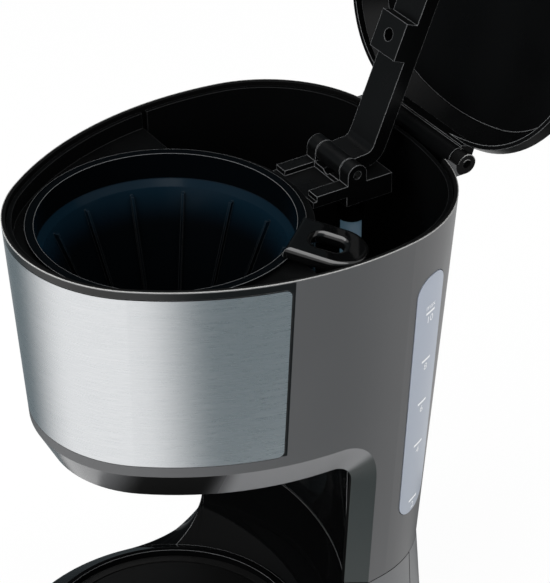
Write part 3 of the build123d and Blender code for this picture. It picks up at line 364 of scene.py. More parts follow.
def basket_black(name, looks):
    """Black with a painted blue reflection at the top of the basket's cone and a painted highlight along its
    rim.
    """
    material, finish = new_finish(name)
    basket_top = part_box("filter_basket")[1][2]
    top = basket_top - looks.basket_ledge
    z = finish.parts(finish.place())[2]
    # Painted reflection: a deep blue band at the top of the cone
    upper = finish.step(z, top - looks.basket_fade, top)
    upper = upper * (1.0 - finish.step(z, top, top + looks.ledge_edge))
    colour = finish.blend(upper, rgba(looks.basket), rgba(looks.basket_painted_reflection))
    # Painted highlight along the basket's rim
    rim = finish.step(z, basket_top - looks.rim_low, basket_top - looks.rim_high)
    finish.surface(black_values(finish, looks, colour, looks.basket_roughness, looks.basket_shine,
                                looks.inside_edge_highlight + looks.edge_highlight * rim))
    return material


def base_black(name, looks, shell):
    """Black base whose sides beside the column have the shell's satin grey."""
    material, finish = new_finish(name)
    place = finish.place()
    x, y = finish.parts(place)[:2]
    normal = finish.node("ShaderNodeNewGeometry", output="Normal")
    side = finish.step(finish.parts(normal)[0] * x, *FACES_SIDEWAYS)
    side = side * finish.step(y, looks.side_start, looks.side_start + shell.paint_edge)
    cloud = finish.noise(place, shell.cloud_scale, 3.0)
    grain = finish.noise(place, shell.grain_scale, 2.0)
    finish.surface(
        black_values(finish, looks, looks.colour, looks.gloss_roughness, looks.gloss_shine, looks.edge_highlight),
        side, {
            "Base Color": finish.clouded(cloud, shell.rear_colour),
            "Roughness": shell.roughness + shell.cloud_roughness * cloud,
            "Normal": finish.bump(grain, shell.grain_strength, shell.grain_depth, shell.edge_round),
        })
    return material


def smoke_window(name, looks):
    """Translucent pale plastic with the dim tank behind it."""
    material, finish = new_finish(name)
    place = finish.place()
    low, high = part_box("level_window")
    rise = finish.step(finish.parts(place)[2], low[2], high[2])
    cloud = finish.noise(place, looks.cloud_scale, 2.0)
    pale = finish.blend(rise, rgba(looks.low_tint), rgba(looks.high_tint))
    finish.surface({
        "Base Color": finish.blend(0.12 * cloud, pale, rgba(looks.high_tint, 1.15)),
        "Roughness": looks.roughness + 0.08 * cloud,
        "Normal": finish.bump(cloud, 0.02, 0.0004),
    })
    return material


def clear_tube(name, looks):
    material, finish = new_finish(name)
    cloud = finish.noise(finish.place(), looks.cloud_scale, 2.0)
    finish.surface({
        "Base Color": finish.blend(cloud, rgba(looks.low_tint), rgba(looks.high_tint)),
        "Roughness": 0.15 + 0.1 * cloud,
        "Alpha": 0.85 + 0.1 * cloud,
        # Painted light: an emission glow that stands for the window's light in the tube
        "Emission Color": finish.blend(cloud, rgba(looks.glow, 0.7), rgba(looks.glow)),
        "Emission Strength": 1.0,
    })
    return material


def metal(name, colour, roughness, scale, spread):
    """Plated, drawn or cast metal with fine directionless scratches."""
    material, finish = new_finish(name)
    scratch = finish.noise(finish.place(), scale, 4.0, 0.7)
    finish.surface({
        "Base Color": finish.clouded(scratch, colour, (0.82, 1.1)),
        "Metallic": 1.0,
        "Roughness": roughness + spread * scratch,
        "Normal": finish.bump(scratch, 0.08, 0.0002),
    })
    return material


def soft_rubber(name, colour, looks):
    """Moulded rubber or silicone with a dusty bloom."""
    material, finish = new_finish(name)
    place = finish.place()
    bloom = finish.noise(place, looks.bloom_scale, 3.0)
    grain = finish.noise(place, looks.grain_scale, 2.0)
    finish.surface({
        "Base Color": finish.clouded(bloom, colour, DUSTY),
        "Roughness": 0.55 + 0.2 * bloom,
        "Specular IOR Level": looks.shine,
        "Normal": finish.bump(grain, 0.1, 0.0003),
    })
    return material


def coated_plate(name, looks):
    """Black non-stick coating with a fleck in it, worn smooth towards the middle."""
    material, finish = new_finish(name)
    place = finish.place()
    x, y = finish.parts(place)[:2]
    low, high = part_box("hot_plate")
    away = y - (low[1] + high[1]) / 2
    radius = finish.root(x * x + away * away)
    rings = finish.sine(radius * looks.ring_scale)
    fleck = finish.noise(place, looks.fleck_scale, 3.0, 0.7)
    worn = 1.0 - finish.step(radius, looks.worn_inside, looks.worn_outside)
    finish.surface({
        "Base Color": finish.blend(finish.step(fleck, 0.6, 0.75), rgba(looks.colour), rgba(looks.fleck)),
        "Roughness": 0.34 - 0.08 * worn + 0.1 * fleck,
        "Specular IOR Level": looks.plate_shine,
        "Normal": finish.bump(fleck + 0.15 * rings, 0.12, 0.0003),
    })
    return material


def woven_sleeve(name, looks):
    """Glass-fibre braid."""
    material, finish = new_finish(name)
    y, z = finish.parts(finish.place())[1:]
    weave = finish.sine((y + z) * looks.braid_scale)
    cross = finish.sine((y - z) * looks.braid_scale)
    braid = finish.step(weave * cross, -0.6, 0.6)
    finish.surface({
        "Base Color": finish.clouded(braid, looks.sleeve, (0.75, 1.0)),
        "Roughness": 0.7 + 0.1 * braid,
        "Normal": finish.bump(braid, 0.3, 0.0003),
    })
    return material


def white_print(name, looks):
    """Pad-printed ink, a little uneven."""
    material, finish = new_finish(name)
    patch = finish.noise(finish.place(), looks.ink_scale, 3.0)
    finish.surface({
        "Base Color": finish.clouded(patch, looks.ink, (0.94, 1.0)),
        "Roughness": 0.4 + 0.15 * patch,
    })
    return material


# Meshes

def new_piece(name, points, faces, material, body, smooth=False):
    """A mesh piece in the frame's place that rides on a body."""
    mesh = bpy.data.meshes.new(name)
    mesh.from_pydata([tuple(point) for point in points], [], faces)
    mesh.validate()
    mesh.update()
    for polygon in mesh.polygons:
        polygon.use_smooth = smooth
    mesh.materials.append(material)
    piece = bpy.data.objects.new(name, mesh)
    bpy.context.scene.collection.objects.link(piece)
    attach(piece, body)
    return piece


def skin(rows):
    """Points and faces of a closed skin through rows of points, each row a loop of the same length."""
    loop = len(rows[0])
    points = [point for row in rows for point in row]
    faces = []
    for start in range(0, len(points) - loop, loop):
        for corner in range(loop):
            a, b = start + corner, start + (corner + 1) % loop
            faces.append((a, b, b + loop, a + loop))
    faces.append(tuple(reversed(range(loop))))
    faces.append(tuple(range(len(points) - loop, len(points))))
    return points, faces


def glyphs(text, size):
    """A text's outline filled with triangles, centred on nought, as points and faces."""
    curve = bpy.data.curves.new("glyphs", "FONT")
    curve.body = text
    curve.size = size
    curve.align_x = "CENTER"
    curve.align_y = "CENTER"
    holder = bpy.data.objects.new("glyphs", curve)
    bpy.context.scene.collection.objects.link(holder)
    bpy.context.view_layer.update()
    mesh = bpy.data.meshes.new_from_object(holder)
    points = [point.co.copy() for point in mesh.vertices]
    faces = [tuple(polygon.vertices) for polygon in mesh.polygons]
    bpy.data.objects.remove(holder)
    bpy.data.meshes.remove(mesh)
    bpy.data.curves.remove(curve)
    return points, faces


def node_tree_of(name):
    """A search tree over a CAD node's faces."""
    mesh = frame["nodes"][name].data
    return BVHTree.FromPolygons([v.co for v in mesh.vertices], [p.vertices for p in mesh.polygons])


def look(thing, target):
    direction = Vector(target) - thing.location
    thing.rotation_euler = direction.to_track_quat("-Z", "Y").to_euler()


# Settings

def tint(name, description, default, top=1):
    return FloatVectorProperty(name=name, description=description, subtype="COLOR", default=default, min=0,
                               max=top)


def spot(name, description, default):
    return FloatVectorProperty(name=name, description=description, subtype="TRANSLATION", default=default)


def length(name, description, default):
    return FloatProperty(name=name, description=description, unit="LENGTH", default=default, precision=5)


def angle(name, description, degrees):
    return FloatProperty(name=name, description=description, subtype="ANGLE", default=math.radians(degrees))


def power(name, description, default):
    return FloatProperty(name=name, description=description, unit="POWER", default=default)


def share(name, description, default):
    return FloatProperty(name=name, description=description, default=default, min=0, max=1)


def number(name, description, default):
    return FloatProperty(name=name, description=description, default=default)


class ShellLooks(bpy.types.PropertyGroup):
    """Satin mouldings of the body."""

    colour: tint("Shell Colour", "Anthracite of the upper body", (0.068, 0.069, 0.0715))
    rear_colour: tint("Rear Colour", "Grey of the rear cover", (0.12, 0.123, 0.127))
    roughness: share("Roughness", "Of the satin faces", 0.38)
    # The frame in this roughness is the painted shade round the steel
    bevel_roughness: share("Bevel Roughness", "Of the polished bevel and the frame", 0.1)
    # Painted shade: the colour that darkens the column's bevel
    facet_painted_shade: tint("Facet Colour", "Of the bevel down the column", (0.017, 0.023, 0.0225))
    # Painted highlight: the light colour along the rim's edge
    rim_highlight: tint("Rim Line", "Of the rounded edge along the rim", (0.5, 0.5, 0.49))
    rim_round: length("Rim Radius", "Rounding of the edge along the rim", 0.0015)
    # Painted shade: the frame round the steel is a black band standing for the dark gap there; the same black
    # is the painted shade inside and on the bevel's sides
    black_and_painted_shade: tint("Frame Colour", "Of the frame round the steel", (0.002, 0.002, 0.002))
    ear_reach: length("Ear Reach", "Radius of the black round the lid's hinge", 0.0055)
    inside_shine: number("Inside Shine", "Specular level of the rim and the inside", 0.06)
    # The frame in these settings is the painted shade round the steel
    gap_shade_width: length("Frame Width", "Of the frame beside the steel", 0.0016)
    frame_edge: length("Frame Edge", "Softness of the frame's painted edge", 0.0002)
    paint_edge: length("Paint Edge", "Softness of the other painted edges", 0.0005)
    frame_top: length("Frame Top", "Height where the frame ends under the rim", 0.2902)
    # Painted light and painted shade on the bevel under the head: the lift lightens its front and back, and
    # its sides are painted black
    bevel_painted_light: number("Bevel Lift", "The satin bevel's colour as a share of the shell's", 2.3)
    bevel_start: length("Bevel Start", "How far forward the bevel's black sides begin", -0.1205)
    bevel_end: length("Bevel End", "How far back the bevel turns satin", -0.067)
    bevel_fade: length("Bevel Fade", "Length over which it turns", 0.016)
    front_painted_light: number("Front Share", "How much of the lift the bevel's front has", 0.3)
    column_start: length("Column Start", "How far back the column's bevel begins", -0.03)
    column_fade: length("Column Fade", "Length over which the column's bevel begins", 0.01)
    cloud_scale: number("Cloud Scale", "Slow changes of tone, per metre", 14.0)
    cloud_roughness: number("Cloud Roughness", "Added where the tone is lightest", 0.06)
    grain_scale: number("Grain Scale", "Moulded grain, per metre", 1600.0)
    grain_strength: number("Grain Strength", "How strongly the grain shows", 0.06)
    grain_depth: length("Grain Depth", "How deep the grain looks", 0.0002)
    edge_round: length("Edge Radius", "Rounding of the moulded edges", 0.0007)


class SteelLooks(bpy.types.PropertyGroup):
    """The brushed wrap."""

    bright_line: tint("Bright Line", "Lighter brush lines", (0.78, 0.79, 0.805))
    dark_line: tint("Dark Line", "Darker brush lines", (0.67, 0.69, 0.705))
    wrap_radius: length("Wrap Radius", "Typical radius of the wrap", 0.085)
    brush_along: number("Along the Brush", "Streaks per metre along a line", 120.0)
    brush_across: number("Across the Brush", "Streaks per metre up the wrap", 3600.0)
    broad_along: share("Broad Along", "Broad streaks along a line, as a share of the fine ones", 0.3)
    broad_across: share("Broad Across", "Broad streaks up the wrap, as a share of the fine ones", 0.4)
    broad_share: share("Broad Lines", "How much of the brush is in broad lines", 0.45)
    roughness: share("Roughness", "Of the smoothest lines", 0.26)
    roughness_spread: number("Roughness Spread", "Added in the bright lines", 0.06)
    anisotropy: share("Anisotropy", "How far highlights stretch across the brush", 0.75)


class BlackLooks(bpy.types.PropertyGroup):
    """Polished black mouldings."""

    colour: tint("Black", "Colour of the black mouldings", (0.0016, 0.0017, 0.0018))
    basket: tint("Basket", "Colour of the filter basket", (0.0009, 0.0014, 0.0019))
    # Painted reflection: the blue at the top of the cone and the band it fills
    basket_painted_reflection: tint("Basket Blue", "At the top of the basket's cone", (0.0023, 0.0088, 0.0155))
    basket_ledge: length("Basket Ledge", "Depth of the cone's top under the basket's rim", 0.0135)
    basket_fade: length("Basket Fade", "Height over which the blue fades", 0.019)
    ledge_edge: length("Ledge Edge", "Softness of the blue's upper edge", 0.001)
    # Painted highlight along the basket's rim
    rim_low: length("Rim Low", "Depth under the basket's top where its lit rim begins", 0.0015)
    rim_high: length("Rim High", "Depth under the basket's top where its rim is fully lit", 0.0008)
    basket_roughness: number("Basket Roughness", "Of the filter basket", 0.16)
    basket_shine: number("Basket Shine", "Specular level of the filter basket", 0.04)
    gloss_roughness: number("Gloss Roughness", "Of outer black faces", 0.06)
    satin_roughness: number("Satin Roughness", "Of the lid, the arm and the inside", 0.3)
    gloss_shine: number("Gloss Shine", "Specular level of outer black faces", 0.045)
    satin_shine: number("Satin Shine", "Specular level of the arm and the outlet", 0.14)
    dull_shine: number("Dull Shine", "Specular level of the lid and the inside", 0.04)
    side_start: length("Side Start", "How far back the base's grey sides begin", -0.0019)
    # Painted highlight: how strongly edges inside are painted lighter
    inside_edge_highlight: number("Inside Edge Light", "How strongly edges inside catch the light", 0.1)
    grip_shine: number("Grip Shine", "Specular level of the basket's handle", 0.5)
    edge_round: length("Edge Radius", "Rounding of the moulded edges", 0.0006)
    # Painted highlight: how strongly the edges are painted lighter, and in what colour
    edge_highlight: number("Edge Light", "How strongly the edges catch the light", 1.0)
    edge_highlight_colour: tint("Edge Colour", "Of the edges that catch the light", (0.2, 0.205, 0.21))
    peel_scale: number("Peel Scale", "Orange peel, per metre", 120.0)
    peel_strength: number("Peel Strength", "How deep the peel looks", 0.03)
    wipe_scale: number("Wipe Scale", "Wipe marks, per metre", 28.0)


class WindowLooks(bpy.types.PropertyGroup):
    """The level window and its printed marks."""

    high_tint: tint("Upper Tint", "Window colour at its top", (0.31, 0.348, 0.42))
    low_tint: tint("Lower Tint", "Window colour at its foot", (0.29, 0.325, 0.385))
    roughness: share("Roughness", "Of the window", 0.28)
    cloud_scale: number("Cloud Scale", "Cloudiness, per metre", 60.0)
    # Painted light: a glow on the riser tube, which is no lamp
    glow: tint("Glow", "Light that the window lets into the riser tube", (0.02, 0.045, 0.062))
    ink: tint("Ink", "Colour of the printed marks", (0.85, 0.86, 0.88))
    ink_scale: number("Ink Scale", "Uneven patches of the ink, per metre", 900.0)
    tick_start: length("Tick Start", "Front end of the ticks", 0.0218)
    tick_length: length("Tick Length", "Length of a tick", 0.0066)
    tick_height: length("Tick Height", "Thickness of a tick", 0.0012)
    digit_size: length("Digit Size", "Size of the numbers", 0.0052)
    word_size: length("Word Size", "Size of the word at the top", 0.0042)
    ink_lift: length("Ink Lift", "How far the ink stands off the window", 0.00006)


class MetalLooks(bpy.types.PropertyGroup):
    """Pins, screws, clips and the heater."""

    plated: tint("Plated", "Plated steel", (0.6, 0.6, 0.59))
    alloy: tint("Alloy", "Aluminium of the heater", (0.68, 0.69, 0.7))
    colour: tint("Plate Coating", "Coating of the hot plate", (0.004, 0.004, 0.004))
    fleck: tint("Plate Fleck", "Fleck in the coating", (0.01, 0.01, 0.01))
    plate_shine: number("Plate Shine", "Specular level of the coating", 0.15)
    fleck_scale: number("Fleck Scale", "Flecks per metre", 1500.0)
    worn_inside: length("Worn Inside", "Radius of the part worn smooth", 0.02)
    worn_outside: length("Worn Outside", "Radius where the wear ends", 0.05)
    ring_scale: number("Ring Scale", "Turning rings, radians per metre", 5000.0)
    coil_turns: IntProperty(name="Coil Turns", description="Turns of the drip stop's spring", default=5,
                            min=2)
    coil_wire: length("Coil Wire", "Radius of the spring's wire", 0.0005)


class RubberLooks(bpy.types.PropertyGroup):
    """Seals, feet and hoses."""

    black: tint("Black Rubber", "Seals and feet", (0.006, 0.006, 0.006))
    silicone: tint("Silicone", "Hoses", (0.62, 0.62, 0.58))
    sleeve: tint("Sleeve", "Braid over the fuses", (0.7, 0.69, 0.64))
    braid_scale: number("Braid Scale", "Of the braid, radians per metre", 6000.0)
    shine: number("Shine", "Specular level of rubber and silicone", 0.15)
    bloom_scale: number("Bloom Scale", "Dusty patches, per metre", 90.0)
    grain_scale: number("Grain Scale", "Grain, per metre", 1800.0)


class TrimSizes(bpy.types.PropertyGroup):
    """Small moulded trim."""

    gutter_width: length("Gutter Width", "Between the hinge's ears", 0.063)
    gutter_drop: length("Gutter Drop", "Of its top under the hinge", 0.0062)
    gutter_height: length("Gutter Height", "Thickness of the lip", 0.0042)
    gutter_reach: length("Gutter Reach", "How far it ends behind the hinge", 0.0012)
    gutter_root: length("Gutter Root", "How deep it starts in the wall", 0.0012)


class StageSetup(bpy.types.PropertyGroup):
    """Camera, floor and light."""

    eye: spot("Eye", "Where the camera stands", (0.8479, -0.5446, 0.8833))
    target: spot("Target", "What the camera looks at", (0.0836, -0.0612, 0.291))
    focal_pixels: number("Focal Length", "In pixels of the picture", 2600.0)
    floor_colour: tint("Floor", "Pale floor", (0.8, 0.8, 0.8))
    floor_size: length("Floor Size", "Width of the floor", 30.0)
    floor_white: share("Floor White", "Share of plain white in the floor as seen", 0.93)
    ambient: number("Ambient", "Level of the light from all round", 0.75)
    card_level: number("Card Level", "Brightness of the cards that metal reflects", 0.2)
    back_level: number("Back Level", "Brightness of the card and the mat behind", 0.055)
    card_tint: tint("Card Tint", "Colour of the cards", (0.82, 1.0, 1.08), top=2)
    card_radius: length("Card Radius", "How far off the cards stand", 0.8)
    card_height: length("Card Height", "Height of the cards", 1.2)
    top_level: number("Top Level", "Brightness of the card overhead", 5.0)
    top_size: length("Top Size", "Width of the card overhead", 0.9)
    top_height: length("Top Height", "Height of the card overhead", 1.15)
    mat_start: length("Mat Start", "How far off the side cards' feet begin and the dark mat ends",
                      0.19)
    mat_end: angle("Mat End", "Where the dark mat behind stops", 230)
    dark_mat_start: length("Dark Mat Start", "How far off the dark mat behind begins", 0.06)
    right_start: angle("Right Start", "Where the right hand card begins", -54)
    right_end: angle("Right End", "Where the right hand card stops", 50)
    right_fade: angle("Right Fade", "How softly the right and back cards and the mat end", 26)
    left_start: angle("Left Start", "Where the left hand card begins", 150)
    left_end: angle("Left End", "Where the left hand card stops", 262)
    left_fade: angle("Left Fade", "How softly the left hand card ends", 50)
    back_start: angle("Back Start", "Where the card behind begins", 70)
    back_end: angle("Back End", "Where the card behind stops", 215)
    key_power: power("Key Power", "Soft box in front", 22.0)
    fill_power: power("Fill Power", "Soft box overhead", 12.0)


class BrewerSettings(bpy.types.PropertyGroup):
    """Everything a user would change."""

    shell: PointerProperty(type=ShellLooks)
    steel: PointerProperty(type=SteelLooks)
    black: PointerProperty(type=BlackLooks)
    window: PointerProperty(type=WindowLooks)
    metal: PointerProperty(type=MetalLooks)
    rubber: PointerProperty(type=RubberLooks)
    trim: PointerProperty(type=TrimSizes)
    stage: PointerProperty(type=StageSetup)


# Operators

class BREWER_OT_shell(bpy.types.Operator):
    """Finish the satin mouldings of the body"""

    bl_idname = "brewer.shell"
    bl_label = "Body Shell"

    def execute(self, context):
        looks = context.scene.brewer.shell
        dress(satin_plastic("anthracite_satin", looks.colour, looks), "upper_housing")
        dress(satin_plastic("rear_grey_satin", looks.rear_colour, looks), "rear_cover")
        return {"FINISHED"}


class BREWER_OT_steel(bpy.types.Operator):
    """Brush the steel wrap"""

    bl_idname = "brewer.steel"
    bl_label = "Steel Wrap"

    def execute(self, context):
        dress(brushed_steel("brushed_wrap", context.scene.brewer.steel), "steel_wrap")
        return {"FINISHED"}


class BREWER_OT_black(bpy.types.Operator):
    """Finish the black mouldings"""

    bl_idname = "brewer.black"
    bl_label = "Black Mouldings"

    def execute(self, context):
        looks = context.scene.brewer.black
        gloss = self.black("polished_black", looks, "gloss", "gloss", looks.edge_highlight)
        satin = self.black("satin_black", looks, "satin", "satin", looks.edge_highlight)
        inside = self.black("inside_black", looks, "satin", "dull", looks.inside_edge_highlight)
        dull = self.black("dull_black", looks, "satin", "dull", looks.edge_highlight)
        grip = self.black("grip_black", looks, "gloss", "grip", looks.edge_highlight)
        dress(gloss, "bay_liner", "rocker", "switch_housing")
        dress(satin, "spout_arm", "outlet_block", "drip_plunger", "check_cage", "base_plate", "check_ball")
        dress(inside, "water_tank", "basket_well")
        dress(dull, "lid_shell", "lid_panel")
        dress(grip, "basket_handle")
        dress(basket_black("basket_black", looks), "filter_basket")
        dress(base_black("base_black", looks, context.scene.brewer.shell), "base_housing")
        return {"FINISHED"}

    def black(self, name, looks, smoothness, shine, edge_highlight):
        """One black, by the names of its roughness and its shine."""
        roughness = getattr(looks, smoothness + "_roughness")
        return polished_black(name, looks, roughness, getattr(looks, shine + "_shine"), edge_highlight)


class BREWER_OT_window(bpy.types.Operator):
    """Finish the level window and the riser tube"""

    bl_idname = "brewer.window"
    bl_label = "Level Window"

    def execute(self, context):
        looks = context.scene.brewer.window
        dress(smoke_window("smoke_window", looks), "level_window")
        dress(clear_tube("clear_riser", looks), "riser_tube")
        return {"FINISHED"}


class BREWER_OT_metal(bpy.types.Operator):
    """Finish the pins, screws, clips, heater and hot plate"""

    bl_idname = "brewer.metal"
    bl_label = "Metal Parts"

    def execute(self, context):
        looks = context.scene.brewer.metal
        plated = metal("plated_steel", looks.plated, roughness=0.22, scale=700.0, spread=0.12)
        alloy = metal("heater_alloy", looks.alloy, roughness=0.38, scale=400.0, spread=0.15)
        dress(plated, "hinge_pin", "spout_pin", "base_screws", "column_screws", "clamp_screw", "hose_clamps",
              "heater_clamp", "drip_spring")
        dress(alloy, "heat_spreader", "water_tube", "heating_element", "thermostat")
        dress(coated_plate("coated_plate", looks), "hot_plate")
        return {"FINISHED"}


class BREWER_OT_rubber(bpy.types.Operator):
    """Finish the seals, feet, hoses and fuse sleeves"""

    bl_idname = "brewer.rubber"
    bl_label = "Rubber Parts"

    def execute(self, context):
        looks = context.scene.brewer.rubber
        dress(soft_rubber("black_rubber", looks.black, looks), "drip_seal", "plate_seal", "rubber_feet",
              "cord_gland")
        dress(soft_rubber("white_silicone", looks.silicone, looks), "cold_hose", "hot_hose")
        dress(woven_sleeve("fuse_braid", looks), "thermal_fuses")
        return {"FINISHED"}


class BREWER_OT_level_marks(bpy.types.Operator):
    """Print the ticks and numbers on the level window"""

    bl_idname = "brewer.level_marks"
    bl_label = "Level Marks"

    MARKS = ((0.246, "10"), (0.219, "8"), (0.1945, "6"), (0.170, "4"), (0.1365, "2"))
    TICK_STEPS = 6
    NUMBER_DROP = 0.55
    WORD_RISE = 0.5

    def execute(self, context):
        looks = context.scene.brewer.window
        window = node_tree_of("level_window")
        points, faces = [], []

        def lay(flat, shapes, y, z):
            """Presses a flat shape onto the window, with its right hand end to the back."""
            start = len(points)
            for point in flat:
                origin = Vector((1.0, y + point.x, z + point.y))
                hit, normal = window.ray_cast(origin, Vector((-1, 0, 0)))[:2]
                if hit is None:
                    raise RuntimeError("a level mark misses the window")
                points.append(hit + normal * looks.ink_lift)
            faces.extend(tuple(start + corner for corner in shape) for shape in shapes)

        steps = self.TICK_STEPS
        middle = looks.tick_start + looks.tick_length / 2
        for height, text in self.MARKS:
            bar = [Vector(((column / steps - 0.5) * looks.tick_length, side * looks.tick_height / 2, 0))
                   for side in (-1, 1) for column in range(steps + 1)]
            strips = [(i, i + 1, i + steps + 2, i + steps + 1) for i in range(steps)]
            lay(bar, strips, middle, height)
            number_height = height - looks.tick_height - looks.digit_size * self.NUMBER_DROP
            lay(*glyphs(text, looks.digit_size), middle, number_height)
        highest = self.MARKS[0][0]
        word_height = highest + looks.tick_height + looks.word_size * self.WORD_RISE
        lay(*glyphs("max", looks.word_size), middle, word_height)
        ink = white_print("white_ink", looks)
        new_piece("level_marks", points, faces, ink, "housing")
        return {"FINISHED"}


class BREWER_OT_drip_coil(bpy.types.Operator):
    """Wind the drip stop's spring"""

    bl_idname = "brewer.drip_coil"
    bl_label = "Drip Spring"

    AROUND = 24
    SECTION = 8

    def execute(self, context):
        looks = context.scene.brewer.metal
        low, high = (Vector(corner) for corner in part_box("drip_spring"))
        centre = (low + high) / 2
        height = high.z - low.z
        wire = looks.coil_wire
        radius = (high.x - low.x) / 2 - wire
        count = self.AROUND * looks.coil_turns
        rows = []
        for i in range(count + 1):
            turn = 2 * math.pi * i / self.AROUND
            rise = low.z + wire + (height - 2 * wire) * i / count
            row = []
            for k in range(self.SECTION):
                bend = 2 * math.pi * k / self.SECTION
                out = radius + wire * math.cos(bend)
                row.append((centre.x + out * math.cos(turn), centre.y + out * math.sin(turn),
                            rise + wire * math.sin(bend)))
            rows.append(row)
        points, faces = skin(rows)
        steel = metal("spring_wire", looks.plated, roughness=0.25, scale=900.0, spread=0.1)
        coil = new_piece("drip_coil", points, faces, steel, "basket", smooth=True)
        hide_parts("drip_spring")
        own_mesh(coil)
        return {"FINISHED"}


class BREWER_OT_hinge_gutter(bpy.types.Operator):
    """Mould the lip under the lid's knuckle that catches its drips"""

    bl_idname = "brewer.hinge_gutter"
    bl_label = "Hinge Gutter"

    COLUMNS = 24
    ARC = 6

    def execute(self, context):
        settings = context.scene.brewer
        trim = settings.trim
        looks = settings.black
        wall = node_tree_of("upper_housing")
        hinge = Vector(JOINTS["lid_hinge"]["pos_m"])
        top = hinge.z - trim.gutter_drop
        foot = top - trim.gutter_height
        back = hinge.y + trim.gutter_reach
        round_edge = trim.gutter_height / 2
        rows = []
        for i in range(self.COLUMNS + 1):
            x = trim.gutter_width * (i / self.COLUMNS - 0.5)
            hit = wall.ray_cast(Vector((x, 1.0, foot)), Vector((0, -1, 0)))[0]
            if hit is None:
                raise RuntimeError("the gutter misses the wall")
            start = hit.y - trim.gutter_root
            row = [(x, start, top), (x, start, foot)]
            for k in range(self.ARC + 1):
                bend = math.pi * (k / self.ARC - 0.5)
                row.append((x, back - round_edge + round_edge * math.cos(bend),
                            (top + foot) / 2 + round_edge * math.sin(bend)))
            rows.append(row)
        points, faces = skin(rows)
        black = polished_black("gutter_black", looks, looks.satin_roughness, looks.dull_shine,
                               looks.inside_edge_highlight)
        new_piece("hinge_gutter", points, faces, black, "housing")
        return {"FINISHED"}


